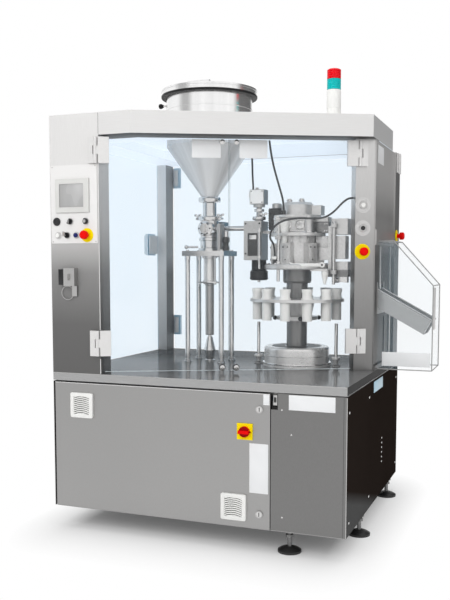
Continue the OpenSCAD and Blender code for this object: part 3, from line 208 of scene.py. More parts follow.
def steelFinish(name, light, dark, rough, grain=(320, 320, 24), metal=1.0, tones=None, bumps=0.04,
                gloss=0.5, ripple=0.08):
    material, finish = startFinish(name, Metallic=metal, Specular_IOR_Level=gloss)
    lines, cloud, marks, mixed = finish.brushed(grain)
    tone = finish.blend(mixed, grey(dark, steelSet["warmDark"]), grey(light, steelSet["warmLight"]))
    if tones:
        tone = finish.rise(tone, tones)
    plug(finish, Base_Color=tone, Normal=finish.bump(lines, bumps),
         Roughness=rough + (cloud - 0.5) * steelSet["smudge"] + (marks - 0.5) * ripple)
    return material


# Moulded plastic or paint: a fine orange-peel bump and a slow change of tone
plasticSet = {"cloud": 9.0, "span": (0.3, 0.7), "coatRough": 0.12, "smudge": 0.14, "peel": 0.0006}


def plasticFinish(name, colour, rough, grainSize=420.0, bumps=0.08, coat=0.0, depth=0.82, gloss=0.5):
    material, finish = startFinish(name, Coat_Weight=coat, Specular_IOR_Level=gloss,
                                   Coat_Roughness=plasticSet["coatRough"])
    cloud = finish.noise(plasticSet["cloud"])
    tone = finish.fade(cloud, plasticSet["span"], shade(colour, depth), shade(colour))
    plug(finish, Base_Color=tone, Roughness=rough + (cloud - 0.5) * plasticSet["smudge"],
         Normal=finish.bump(finish.noise(grainSize, 2.0), bumps, plasticSet["peel"]))
    return material


# Clear pane: faint tint, soft haze in patches, and where given a faint glow of its tint, which is
# painted light
paneSet = {"haze": 1.7, "span": (0.3, 0.7), "fade": 0.85, "rough": 0.04}


def paneFinish(name, tint, veil, paneGlow=0.0):
    material, finish = startFinish(name, IOR=1.45, Emission_Strength=paneGlow,
                                   Emission_Color=shade(tint))
    haze = finish.noise(paneSet["haze"])
    pale = [1 - (1 - c) * paneSet["fade"] for c in tint]
    tone = finish.fade(haze, paneSet["span"], shade(tint), shade(pale))
    plug(finish, Base_Color=tone, Alpha=veil * (0.75 + haze * 0.5),
         Roughness=paneSet["rough"] + haze * 0.03)
    return material


# Painted reflection and shade on the control column: its tone over the height, light at the top and
# dark towards the bottom
columnReflectionTones = [(0.75, 0.18), (0.98, 0.20), (1.10, 0.28), (1.22, 0.36), (1.34, 0.64), (1.45, 0.85),
               (1.70, 1.0), (1.95, 1.0)]
discTones = [(0.75, 0.36), (0.974, 0.36), (0.98, 1.0), (1.20, 1.0)]
headTones = [(1.0, 0.34), (1.232, 0.34), (1.236, 1.0), (1.75, 1.0)]
fillTones = [(1.0, 0.05), (1.281, 0.05), (1.285, 1.0), (1.8, 1.0)]
evenGrain, fineGrain = (60, 60, 60), (90, 90, 90)
doorSteel = steelFinish("doorSteel", 0.44, 0.38, 0.44, (380, 380, 120), bumps=0.05)
columnSteel = steelFinish("columnSteel", 0.78, 0.72, 0.50, metal=0.4, tones=columnReflectionTones, gloss=0.2)
panelSteel = steelFinish("panelSteel", 0.81, 0.78, 0.50, (10, 10, 300), 0.1, gloss=0.2)
brightSteel = steelFinish("brightSteel", 0.74, 0.60, 0.20, (160, 160, 160), bumps=0.02)
turnedSteel = steelFinish("turnedSteel", 0.82, 0.76, 0.26, (30, 30, 60), 0.6, bumps=0.0, ripple=0.02)
discSteel = steelFinish("discSteel", 0.70, 0.56, 0.32, (40, 40, 160), 0.6, discTones, 0.02)
headSteel = steelFinish("headSteel", 0.72, 0.50, 0.34, fineGrain, 0.6, headTones, 0.06)
castSteel = steelFinish("castSteel", 0.64, 0.44, 0.34, fineGrain, 0.7, bumps=0.06)
chuteSteel = steelFinish("chuteSteel", 0.46, 0.34, 0.34, (12, 320, 320), 0.7)
frameSteel = steelFinish("frameSteel", 0.36, 0.29, 0.45, evenGrain)
darkSteel = steelFinish("darkSteel", 0.08, 0.04, 0.40, (70, 70, 70), 0.3, gloss=0.2)
spindleSteel = steelFinish("spindleSteel", 0.26, 0.20, 0.30, (60, 60, 400), 0.8, gloss=0.2)
ringSteel = steelFinish("ringSteel", 0.62, 0.55, 0.42, fineGrain, 0.2, gloss=0.3)
edgeSteel = steelFinish("edgeSteel", 0.44, 0.36, 0.45, evenGrain, 0.4)
latchSteel = steelFinish("latchSteel", 0.60, 0.52, 0.34, (200, 200, 40))
fittingSteel = steelFinish("fittingSteel", 0.74, 0.68, 0.44, (60, 60, 260), 0.3)
fillSteel = steelFinish("fillSteel", 0.52, 0.38, 0.34, fineGrain, 0.7, fillTones)
doorGlass = paneFinish("doorGlass", (0.86, 0.94, 1.0), 0.022)
# The side and rear panes glow faintly blue: painted light
sideGlass = paneFinish("sideGlass", (0.12, 0.62, 1.0), 0.115, 0.42)
rearGlass = paneFinish("rearGlass", (0.10, 0.62, 1.0), 0.095, 0.42)
edgeGlass = paneFinish("edgeGlass", (0.20, 0.25, 0.27), 0.30)
hoodSheet = paneFinish("hoodSheet", (0.62, 0.84, 0.98), 0.045)
footGlass = paneFinish("footGlass", (0.80, 0.87, 0.89), 0.50)
whitePlastic = plasticFinish("whitePlastic", (0.87, 0.87, 0.85), 0.42, depth=0.93)
blackPlastic = plasticFinish("blackPlastic", (0.018, 0.018, 0.020), 0.30, depth=0.6)
# A lighter copy of the white plastic for the box under the canopy: painted light against the shade
# there
litBoxWhite = plasticFinish("litBoxWhite", (1.0, 1.0, 0.99), 0.42, depth=0.97)
bezelPlastic = plasticFinish("bezelPlastic", (0.68, 0.68, 0.66), 0.40, depth=0.93)
redPlastic = plasticFinish("redPlastic", (0.90, 0.002, 0.001), 0.40, gloss=0.1)
knobRed = plasticFinish("knobRed", (0.34, 0.001, 0.001), 0.45, gloss=0.1)
yellowPlastic = plasticFinish("yellowPlastic", (0.97, 0.77, 0.0), 0.42, gloss=0.1, depth=0.92)
bluePlastic = plasticFinish("bluePlastic", (0.008, 0.016, 0.14), 0.30, gloss=0.3)
plateWhite = plasticFinish("plateWhite", (0.84, 0.85, 0.86), 0.34, 900.0, 0.03, depth=0.95)
plateBlue = plasticFinish("plateBlue", (0.46, 0.70, 0.84), 0.34, 900.0, 0.03, depth=0.9)
greenLens = plasticFinish("greenLens", (0.004, 0.56, 0.56), 0.20, coat=0.1, gloss=0.15)
redLens = plasticFinish("redLens", (0.90, 0.003, 0.012), 0.20, coat=0.1, gloss=0.15)
hoseBlack = plasticFinish("hoseBlack", (0.035, 0.035, 0.037), 0.38, 600.0, depth=0.7)
driveGrey = plasticFinish("driveGrey", (0.10, 0.13, 0.17), 0.40)
gasketBlack = plasticFinish("gasketBlack", (0.014, 0.014, 0.015), 0.46, 700.0, 0.2, depth=0.6,
                            gloss=0.2)

# Posts and right wall: pale rear left post with painted shade towards its foot; painted reflection and
# shade over the height on the posts and on the wall, which is dark below the hood; painted shade low on
# inner faces
postSet = {"grain": (320, 320, 24), "gloss": 0.3, "rough": 0.40, "leftOf": -0.45, "behind": 0.46,
           "steel": (grey(0.66, 0.012), grey(0.74, 0.008)), "pale": (grey(0.70), grey(0.82)),
           "paleFootShade": grey(0.34), "paleSpan": (0.78, 1.5), "wall": (grey(0.86, 0.02), grey(1.0, 0.01)),
           "rearWall": (grey(0.08), grey(0.11)), "inside": (grey(0.11), grey(0.34)),
           "insideSpan": (1.2, 1.32),
           "tones": [(0.75, 0.30), (0.95, 0.36), (1.25, 0.50), (1.60, 0.84), (1.95, 1.0)],
           "wallShadeTones": [(0.75, 0.05), (1.30, 0.05), (1.38, 0.26), (1.50, 0.22), (1.62, 0.40),
                         (1.72, 0.48), (1.95, 0.44)]}


def postFinish(name):
    material, finish = startFinish(name, Specular_IOR_Level=postSet["gloss"])
    lines, cloud, _, grain = finish.brushed(postSet["grain"])
    left = finish.along("X") < postSet["leftOf"]
    flat = finish.faces("X")
    height = finish.along("Z")
    # Painted reflection on the post steel: lighter at the top, darker towards the bottom
    skin = finish.rise(finish.blend(grain, *postSet["steel"]), postSet["tones"])
    # Painted shade: the pale post darkens towards its foot
    pale = finish.fade(height, postSet["paleSpan"], postSet["paleFootShade"],
                       finish.blend(grain, *postSet["pale"]))
    # Painted reflection and shade on the wall: very dark below the hood, lighter above
    flank = finish.rise(finish.blend(grain, *postSet["wall"]), postSet["wallShadeTones"])
    flank = finish.blend(finish.along("Y") > postSet["behind"], flank,
                         finish.blend(grain, *postSet["rearWall"]))
    # Painted shade: inner faces dark low down, lighter above
    inside = finish.fade(height, postSet["insideSpan"], *postSet["inside"])
    tone = finish.blend(flat, finish.blend(left, skin, pale), finish.blend(left, flank, inside))
    plug(finish, Base_Color=tone, Metallic=(1 - left * 0.75) * (1 - flat * 0.8),
         Roughness=postSet["rough"] + (cloud - 0.5) * 0.2, Normal=finish.bump(lines, 0.04))
    return material


# Worktop: polished top that mirrors what stands on it, with painted shade darkening it towards the
# rear, brushed front lip, and a dark right edge that is painted shade
worktopSet = {"grain": (12, 240, 240), "plate": (grey(0.15), grey(0.24)), "rear": grey(0.06),
              "rearShadeSpan": (-0.10, 0.30), "lip": (grey(0.36), grey(0.41)), "edge": grey(0.012),
              "rightOf": 0.59, "metal": 0.2, "rough": 0.22}


def worktopFinish(name):
    material, finish = startFinish(name, Specular_IOR_Level=0.0)
    lines, cloud, marks, mixed = finish.brushed(worktopSet["grain"], 0.5)
    top = finish.faces("Z")
    # Painted shade: the top darkens towards the rear
    rear = finish.span(finish.along("Y"), *worktopSet["rearShadeSpan"])
    plate = finish.blend(rear, finish.blend(mixed, *worktopSet["plate"]), worktopSet["rear"])
    # Painted shade: the right-facing edge is near black
    edge = finish.faces("X") * (finish.along("X") > worktopSet["rightOf"])
    side = finish.blend(edge, finish.blend(marks, *worktopSet["lip"]), worktopSet["edge"])
    plug(finish, Base_Color=finish.blend(top, side, plate), Normal=finish.bump(lines, 0.02),
         Metallic=worktopSet["metal"] + top * (worktopSet["metal"] - rear * 0.16),
         Roughness=worktopSet["rough"] - top * 0.12 + (cloud - 0.5) * 0.08)
    return material


# Hopper: streaks that run down the cone, partly grain and partly painted reflection, a painted
# highlight band ahead, painted shade on its left side, more polish above the canopy
coneSet = {"middle": spot(520, 700, 0), "streaks": 5.0, "fine": 60.0, "canopyTop": 1.95,
           "ahead": (0.36, -0.93, 0), "highlightBand": (0.90, 0.99), "highlightTone": grey(1.0),
           "cone": (grey(0.72, 0.01), grey(0.94)), "coneSpan": (0.36, 0.64),
           "left": grey(0.56, 0.01), "leftShadeSpan": (-0.2, -0.75),
           "drum": (grey(0.84), grey(0.93)), "drumSpan": (0.3, 0.7),
           "metal": 0.16, "drumMetal": 0.74, "rough": 0.24}


def hopperFinish(name):
    material, finish = startFinish(name)
    out = finish.vector("SUBTRACT", finish.where(), coneSet["middle"])
    out = finish.vector("NORMALIZE", finish.vector("MULTIPLY", out, (1, 1, 0)))
    streaks, fine = (finish.node("ShaderNodeTexNoise", None,
                                 {"Vector": out, "Scale": coneSet[key], "Detail": detail})
                     for key, detail in (("streaks", 3.0), ("fine", 2.0)))
    above = finish.along("Z") > coneSet["canopyTop"]
    # Painted highlight: a bright band on the side of the cone that faces ahead
    ahead = finish.vector("DOT_PRODUCT", out, coneSet["ahead"], "Value")
    highlightBand = finish.span(ahead, *coneSet["highlightBand"]) * (1 - above)
    cone = finish.fade(streaks, coneSet["coneSpan"], *coneSet["cone"])
    # Painted shade: the cone darkens on its left side
    cone = finish.fade(finish.facing("X"), coneSet["leftShadeSpan"], cone, coneSet["left"])
    cone = finish.blend(highlightBand, cone, coneSet["highlightTone"])
    drum = finish.fade(streaks, coneSet["drumSpan"], *coneSet["drum"])
    plug(finish, Base_Color=finish.blend(above, cone, drum),
         Metallic=coneSet["metal"] + above * coneSet["drumMetal"] - highlightBand * coneSet["metal"],
         Roughness=coneSet["rough"] + (fine - 0.5) * 0.16 - above * 0.06,
         Normal=finish.bump(fine, 0.02))
    return material


# Canopy: pale steel outside with painted shade on its right end, the underside of its front edge
# darkened with painted shade, and a lining inside that glows as painted light, dimmer to the right
canopySet = {"grain": (14, 14, 420), "skin": (grey(0.68, 0.010), grey(0.74, 0.006)),
             "rightEndShade": grey(0.56), "lip": (grey(0.03), grey(0.26)), "lipSpan": (0.02, 0.135),
             "lining": grey(0.30), "paintedGlow": ((0.57, 0.66, 0.75, 1), (0.64, 0.71, 0.79, 1)),
             "rightPaintedGlow": (0.46, 0.52, 0.58, 1), "rightSpan": (0.55, 0.95), "rough": 0.50}


def canopyFinish(name):
    material, finish = startFinish(name, Metallic=0.3, Specular_IOR_Level=0.2,
                                   Emission_Strength=1.0)
    lines, cloud, _, mixed = finish.brushed(canopySet["grain"])
    ends = finish.faces("X")
    # Painted shade: the right end is darker
    skin = finish.blend(ends, finish.blend(mixed, *canopySet["skin"]), canopySet["rightEndShade"])
    x = finish.along("X") + (middleX - planSet["bend"]) * mm
    y = finish.along("Y") + middleY * mm
    behind = y * math.cos(frontTurn) - x * math.sin(frontTurn)
    reach = behind.maths("MINIMUM", behind, y)
    below = finish.faces("Z", -0.5)
    lip = below * (reach < canopySet["lipSpan"][1])
    lining = ((below - lip) + ends * (x < 0.0) + finish.faces("Y", -0.7) * (y > 1.1)
              + finish.faces("X", -0.7) * (x > 0.9))  # ceiling, left, rear and right walls
    # Painted light: the lining glows, dimmer towards the right
    paintedGlow = finish.blend(finish.noise(1.5, 2.0), *canopySet["paintedGlow"])
    paintedGlow = finish.fade(x, canopySet["rightSpan"], paintedGlow, canopySet["rightPaintedGlow"])
    # Painted shade: the underside of the front edge is darkest at the front
    edge = finish.fade(reach, canopySet["lipSpan"], *canopySet["lip"])
    tone = finish.blend(lining, finish.blend(lip, skin, edge), canopySet["lining"])
    plug(finish, Base_Color=tone, Emission_Color=finish.blend(lining, grey(0.0), paintedGlow),
         Roughness=canopySet["rough"] + (cloud - 0.5) * 0.16, Normal=finish.bump(lines, 0.03))
    return material


# Cabinet panels: the front matches the door; the right side is dark with painted reflection and shade,
# and paler at its foot as a painted reflection of the floor
cabinetSet = {"grain": (380, 380, 120), "front": (grey(0.215, 0.012), grey(0.255, 0.008)),
              "dark": ((0.018, 0.013, 0.011, 1), (0.026, 0.020, 0.017, 1)),
              "foot": (grey(0.07), grey(0.11)), "footSpan": (0.14, 0.08), "footSlope": 0.28,
              "rough": 0.44}


def cabinetFinish(name):
    material, finish = startFinish(name, Specular_IOR_Level=0.0)
    side = finish.faces("X")
    lines, cloud, _, mixed = finish.brushed(cabinetSet["grain"])
    # Painted reflection: the right side is near black, paler low down
    height = finish.along("Z") + cabinetSet["footSlope"] * finish.along("Y")
    dark = finish.fade(height, cabinetSet["footSpan"], finish.blend(cloud, *cabinetSet["dark"]),
                       finish.blend(cloud, *cabinetSet["foot"]))
    plug(finish, Metallic=1 - side, Normal=finish.bump(lines, 0.05),
         Base_Color=finish.blend(side, finish.blend(mixed, *cabinetSet["front"]), dark),
         Roughness=cabinetSet["rough"] + (cloud - 0.5) * 0.16)
    return material


# Feet: black rubber pad below, threaded steel above
footSet = {"padTop": 0.0262, "rubber": (grey(0.010), grey(0.026)), "steel": (grey(0.12), grey(0.30)),
           "thread": 150.0, "pores": 500.0, "rough": 0.42}


def footFinish(name):
    material, finish = startFinish(name)
    stem = finish.along("Z") > footSet["padTop"]
    cloud = finish.noise(14.0)
    thread = finish.node("ShaderNodeTexWave", {"bands_direction": "Z"},
                         {"Vector": finish.where(), "Scale": footSet["thread"], "Distortion": 0.0})
    pores = finish.noise(footSet["pores"], 2.0) * 0.4
    plug(finish, Metallic=stem + 0.0,
         Base_Color=finish.blend(stem, finish.blend(cloud, *footSet["rubber"]),
                                 finish.blend(cloud, *footSet["steel"])),
         Roughness=footSet["rough"] - stem * 0.16 + (cloud - 0.5) * 0.1,
         Normal=finish.bump(stem * thread + (1 - stem) * pores, 0.25, 0.0008))
    return material


# Screen: grey glass with a faint slanted sheen painted into its colour, a painted reflection
screenSet = {"paintedSheen": 11.0, "slant": (1.0, 1.0, 0.5), "tones": (grey(0.36), grey(0.50)),
             "span": (0.35, 0.7), "coat": 0.35, "rough": 0.22}


def screenFinish(name):
    material, finish = startFinish(name, Coat_Weight=screenSet["coat"], Coat_Roughness=0.05)
    paintedSheen = finish.noise(screenSet["paintedSheen"], 1.0, screenSet["slant"])
    plug(finish, Roughness=screenSet["rough"] + paintedSheen * 0.1,
         Base_Color=finish.fade(paintedSheen, screenSet["span"], *screenSet["tones"]),
         Normal=finish.bump(finish.noise(700.0, 1.0), 0.02, 0.0004))
    return material


postSteel = postFinish("postSteel")
topSteel = worktopFinish("topSteel")
hopperSteel = hopperFinish("hopperSteel")
canopySteel = canopyFinish("canopySteel")
cabinetSteel = cabinetFinish("cabinetSteel")
footMixed = footFinish("footMixed")
screenGrey = screenFinish("screenGrey")
nodeFinish = {
    doorSteel: "base_door", cabinetSteel: "base_panels", frameSteel: "base_frame",
    footMixed: "levelling_feet", topSteel: "worktop", columnSteel: "control_column",
    canopySteel: "canopy", panelSteel: "control_panel", postSteel: "enclosure_frame",
    latchSteel: "column_latch latch_key", doorGlass: "front_left_glass front_right_glass",
    fittingSteel: "hinge_leaves front_left_fittings front_right_fittings side_door_fittings "
                  "rear_door_fittings",
    sideGlass: "side_door_glass", rearGlass: "rear_door_glass", hoodSheet: "hood_panels",
    chuteSteel: "outfeed_chute", hopperSteel: "hopper hopper_lid",
    turnedSteel: "turret_drum dosing_cylinder", discSteel: "index_disc", ringSteel: "button_bezels",
    brightSteel: "valve_body valve_rotor dosing_stand dosing_piston product_line seal_jaw "
                 "fill_lift_rod eject_lift_rod door_lock_upper door_lock_lower",
    headSteel: "turret_head", fillSteel: "fill_head", spindleSteel: "turret_column",
    driveGrey: "drive_units", bezelPlastic: "touch_screen",
    whitePlastic: "tube_holders panel_white_button post_white_button fan_filters signal_tower",
    blackPlastic: "mode_selector speed_knob key_selector post_black_button",
    yellowPlastic: "switch_plate estop_collars", bluePlastic: "panel_blue_button",
    redPlastic: "switch_knob panel_estop post_estop rear_estop", hoseBlack: "air_hoses",
}
for finishMade, names in nodeFinish.items():
    for name in names.split():
        nodes[name].data.materials.clear()
        nodes[name].data.materials.append(finishMade)
print("finishes set on", sum(len(names.split()) for names in nodeFinish.values()), "nodes")

# Hoses: the routes of the solids, through the same points
hoseSet = {
    "radius": 5.0, "fine": 12,
    "headHose": (3, [(900, 530, 1945.7), (902, 532, 1880), (909, 539, 1810), (920, 551, 1740),
                     (937, 572, 1660), (951, 596, 1590), (955, 607, 1540), (955, 607, 1506.6)]),
    "fillHose": (3, [(800, 556, 1945.7), (801, 557, 1890), (801, 562, 1845), (798, 578, 1798),
                     (791, 603, 1760), (781, 634, 1734), (772, 662, 1712), (767, 681, 1684),
                     (767, 686, 1655), (767, 686, 1641.6)]),
    "postHose": (2, [(1308, 584, 1577), (1284, 576, 1572), (1257, 569, 1551), (1224, 561, 1516),
                     (1185, 549, 1489), (1136, 528, 1480), (1070, 500, 1481), (1010, 481, 1474),
                     (964, 468, 1452), (934, 472, 1418), (922, 496, 1388), (920, 530, 1373),
                     (920, 558, 1355), (920, 572, 1326), (920, 573, 1298.6)]),
}


def easedRoute(points, steps):
    made = []
    count = len(points)
    for i in range(count - 1):
        a, b, c, d = (Vector(points[max(0, min(count - 1, i + k))]) for k in (-1, 0, 1, 2))
        for k in range(steps + (1 if i == count - 2 else 0)):
            s = k / steps
            made.append(0.5 * (2 * b + (c - a) * s + (2 * a - 5 * b + 4 * c - d) * s * s
                               + (3 * b - a - 3 * c + d) * s ** 3))
    return [spot(*point) for point in made]


def airHose(name, steps, points):
    route = easedRoute(points, steps)
    line = bpy.data.curves.new(name, "CURVE")
    line.dimensions = "3D"
    line.bevel_depth = hoseSet["radius"] * mm
    line.bevel_resolution = 3
    line.resolution_u = 4
    line.use_fill_caps = True
    run = line.splines.new("BEZIER")
    run.bezier_points.add(len(route) - 1)
    for knot, place in zip(run.bezier_points, route):
        knot.co = place
        knot.handle_left_type = knot.handle_right_type = "AUTO"
    hose = bpy.data.objects.new(name, line)
    bpy.context.collection.objects.link(hose)
    line.materials.append(hoseBlack)
    fine = easedRoute(points, hoseSet["fine"])
    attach(hose, "machine")
    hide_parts("air_hoses")


for name in ("headHose", "fillHose", "postHose"):
    airHose(name, *hoseSet[name])


# Modelling helpers
def clearPick():
    if bpy.context.object and bpy.context.object.mode != "OBJECT":
        bpy.ops.object.mode_set(mode="OBJECT")
    bpy.ops.object.select_all(action="DESELECT")


def selectAll():
    bpy.ops.mesh.select_all(action="SELECT")


def editAll():
    bpy.ops.object.mode_set(mode="EDIT")
    selectAll()


def applyAll():
    bpy.ops.object.transform_apply(location=True, rotation=True, scale=True)


def extrude(x, y, z):
    bpy.ops.mesh.extrude_region_move(TRANSFORM_OT_translate={"value": (x * mm, y * mm, z * mm)})


def bevel(size, steps=2):
    bpy.ops.mesh.bevel(offset=size * mm, segments=steps, affect="EDGES")


def settle(part, space):
    part.matrix_world = space @ part.matrix_basis
    applyAll()
    return part


# Leaves edit mode with all faces outward, and sets the part in its place
def done(part, finish, space=machineSpace):
    if part.mode == "EDIT":
        selectAll()
        bpy.ops.mesh.normals_make_consistent(inside=False)
        bpy.ops.object.mode_set(mode="OBJECT")
    part.data.materials.clear()
    part.data.materials.append(finish)
    return settle(part, space)


def cube(low, high):
    clearPick()
    bpy.ops.mesh.primitive_cube_add(size=1, location=[(a + b) / 2 * mm for a, b in zip(low, high)])
    part = bpy.context.object
    part.scale = [(b - a) * mm for a, b in zip(low, high)]
    applyAll()
    return part


# A block between two corners, with its edges rounded
def block(low, high, finish, edge=1.5, space=machineSpace):
    part = cube(low, high)
    editAll()
    bevel(edge)
    return done(part, finish, space)


# A round part built up from (radius, height) steps, standing on a point and facing along a direction
def turned(steps, at, finish, toward=up, sides=32, space=machineSpace, hollow=False):
    clearPick()
    bpy.ops.mesh.primitive_circle_add(vertices=sides, radius=steps[0][0] * mm,
                                      fill_type="NOTHING" if hollow else "NGON",
                                      location=(0, 0, steps[0][1] * mm))
    part = bpy.context.object
    applyAll()
    editAll()
    grow = bpy.ops.mesh.extrude_edges_move if hollow else bpy.ops.mesh.extrude_region_move
    route = steps + steps[:1] if hollow else steps
    for (r, h), (nextR, nextH) in zip(route, route[1:]):
        grow(TRANSFORM_OT_translate={"value": (0, 0, (nextH - h) * mm)})
        if nextR != r:
            bpy.ops.transform.resize(value=(nextR / r, nextR / r, 1))
    if hollow:
        selectAll()
        bpy.ops.mesh.remove_doubles(threshold=1e-6)
    part.rotation_euler = Vector(toward).to_track_quat("Z", "Y").to_euler()
    part.location = [v * mm for v in at]
    return done(part, finish, space)


# A ring: a circle drawn out along its section and closed on itself
def ringPart(section, at, finish, toward=up, sides=64, space=machineSpace):
    return turned(section, at, finish, toward, sides, space, hollow=True)


# A round bar between two points, its ends chamfered
def bar(start, end, radius, finish, sides=16, space=machineSpace):
    run = Vector(end) - Vector(start)
    soft = min(0.8, radius * 0.3)
    steps = [(radius - soft, 0), (radius, soft), (radius, run.length - soft),
             (radius - soft, run.length)]
    return turned(steps, start, finish, run, sides, space)


def ball(at, radius, finish, sides=24, space=machineSpace):
    turns = [math.pi * i / 12 for i in range(13)]
    rings = [(max(0.06, math.sin(turn)) * radius, -math.cos(turn) * radius) for turn in turns]
    return turned(rings, at, finish, up, sides, space)


# Hexagon bolt head with a chamfer
def boltHead(at, toward, size, finish, space=machineSpace):
    return turned([(size, 0), (size, size * 0.6), (size * 0.86, size * 0.8)], at, finish, toward, 6,
                  space)


# Pan-head screw with a dished middle
def screwHead(at, toward, size, finish, space=machineSpace):
    steps = [(1, 0), (1, 0.35), (0.75, 0.65), (0.4, 0.72), (0.36, 0.4)]
    return turned([(r * size, h * size) for r, h in steps], at, finish, toward, 14, space)


# A thin flat rim that stands upright
def flatFrame(low, high, rim, thick, finish, space=machineSpace):
    clearPick()
    bpy.ops.mesh.primitive_plane_add(size=1, location=[(a + b) / 2 * mm for a, b in zip(low, high)],
                                     rotation=(math.pi / 2, 0, 0))
    part = bpy.context.object
    part.scale = ((high[0] - low[0]) * mm, (high[2] - low[2]) * mm, 1)
    applyAll()
    editAll()
    bpy.ops.mesh.inset(thickness=rim * mm)
    bpy.ops.mesh.delete(type="FACE")
    selectAll()
    extrude(0, -thick, 0)
    return done(part, finish, space)


# A wing nut with two upright wings, on a point
def wingNut(at, finish, space=machineSpace):
    x, y, z = at
    return [turned([(7, 0), (7, 8), (5, 12)], at, finish, up, 16, space)] + [
        block((x + low, y - 2.5, z + 6), (x + low + 16, y + 2.5, z + 18), finish, 2.0, space)
        for low in (-20, 4)]


# Copies with meshes of their own, moved by millimetres or turned about an upright axis
def twinOf(part):
    clearPick()
    part.select_set(True)
    bpy.context.view_layer.objects.active = part
    bpy.ops.object.duplicate(linked=False)
    return bpy.context.object


def moved(part, x=0, y=0, z=0):
    return settle(twinOf(part), Matrix.Translation((x * mm, y * mm, z * mm)))


def inRow(first, count, pitch):
    return [first] + [moved(first, z=pitch * i) for i in range(1, count)]


def swung(part, degrees, about):
    middle = spot(*about, 0)
    turn = Matrix.Rotation(math.radians(degrees), 4, "Z")
    return settle(twinOf(part), Matrix.Translation(middle) @ turn @ Matrix.Translation(-middle))


# Faces or edges picked by a test, ready in edit mode
def pick(part, kind, test):
    if part.mode != "EDIT":
        bpy.ops.object.mode_set(mode="EDIT")
    bpy.ops.mesh.select_mode(type=kind)
    bpy.ops.mesh.select_all(action="DESELECT")
    bpy.ops.object.mode_set(mode="OBJECT")
    for item in (part.data.polygons if kind == "FACE" else part.data.edges):
        item.select = test(item)
    bpy.ops.object.mode_set(mode="EDIT")


# Several parts become one piece of the machine
smoothUnder = math.radians(38)


def piece(name, parts, body="machine", replaced=()):
    clearPick()
    for part in parts:
        part.select_set(True)
    bpy.context.view_layer.objects.active = parts[0]
    if len(parts) > 1:
        bpy.ops.object.join()
    made = bpy.context.object
    made.name = made.data.name = name
    bpy.ops.object.shade_smooth_by_angle(angle=smoothUnder)
    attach(made, body)
    if replaced:
        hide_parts(*replaced)


# A group holds a dictionary for each piece, with its slot, body and space where they aren't the usual
# ones, parts that are ready, and rows for each maker
makers = {"blocks": block, "rounds": turned, "rings": ringPart, "bars": bar, "balls": ball,
          "bolts": boltHead, "screws": screwHead, "frames": flatFrame}


def makeGroup(group, space=machineSpace):
    for name, row in group.items():
        parts = list(row.get("parts", ()))
        for kind, make in makers.items():
            parts += [make(*values, space=row.get("space", space)) for values in row.get(kind, ())]
        piece(name, parts, row.get("body", "machine"))


# Bare plates: the corners, then the body, finish and space
plateEdge = 0.35
plateSet = {
    "leftDoorPlate": ((281, 80.8, 1752), (415, 81.6, 1836), "front_left_door", plateWhite, doorSpace),
    "rightDoorPlate": ((503, 80.8, 1752), (634, 81.6, 1836), "front_right_door", plateWhite, doorSpace),
    "doorTallPlate": ((993, -0.8, 263), (1079, 0, 483), "cabinet_door"),
    "cabinetWidePlate": ((1171, -0.8, 640), (1374, 0, 705)),
    "cabinetSidePlate": ((1424, 567, 645), (1424.8, 796, 699), "machine", plateBlue),
    "wallPlate": ((1414, 640, 1745), (1414.8, 786, 1830)),
    "hoodPlate": ((1446, 644.2, 770), (1676, 645, 838)),
    "lockPlate": ((1056, -0.8, 655), (1084, 0, 703), "cabinet_door"),
}


def barePlate(name, low, high, body="machine", finish=plateWhite, space=machineSpace):
    piece(name, [block(low, high, finish, plateEdge, space)], body)


for name, values in plateSet.items():
    barePlate(name, *values)
print("bare plates made")

# Fan filters: a rounded frame round arched louvres, over a dark plate that is painted shade for the
# slits
fanSet = {"side": 118, "proud": 11, "rim": 17, "corner": 8, "chamfer": 1.5, "recess": 7,
          "shadeBacking": (-4.6, -3.4), "louvres": 10, "blade": 0.56, "arch": 99, "depth": (6.6, 5.0),
          "lap": 3, "slack": 4, "spread": 10, "places": [(157, 599), (920, 193)]}


def archedLouvre(x, z, width, tall):
    reach, (place, deep) = fanSet["arch"], fanSet["depth"]
    half = math.asin(width / 2 / reach)
    middle = Vector((x * mm, -place * mm, z * mm))
    clearPick()
    bpy.ops.mesh.primitive_plane_add(size=1, location=middle + Vector((0, 0, reach * mm)),
                                     rotation=(0, math.pi / 2, 0))
    part = bpy.context.object
    part.scale = (tall * mm, deep * mm, 1)
    applyAll()
    editAll()
    bpy.ops.mesh.spin(steps=10, angle=2 * half, center=middle, axis=(0, 1, 0))
    selectAll()
    bpy.ops.mesh.remove_doubles(threshold=1e-6)
    bpy.ops.mesh.fill_holes(sides=4)
    bpy.ops.mesh.normals_make_consistent(inside=False)
    bpy.ops.object.mode_set(mode="OBJECT")
    lean = sum(corner.co.x - middle.x for corner in part.data.vertices)
    back = Matrix.Rotation(half if lean < 0 else -half, 4, "Y")  # the spin's direction, undone by half
    settle(part, Matrix.Translation(middle) @ back @ Matrix.Translation(-middle))
    return done(part, whitePlastic)


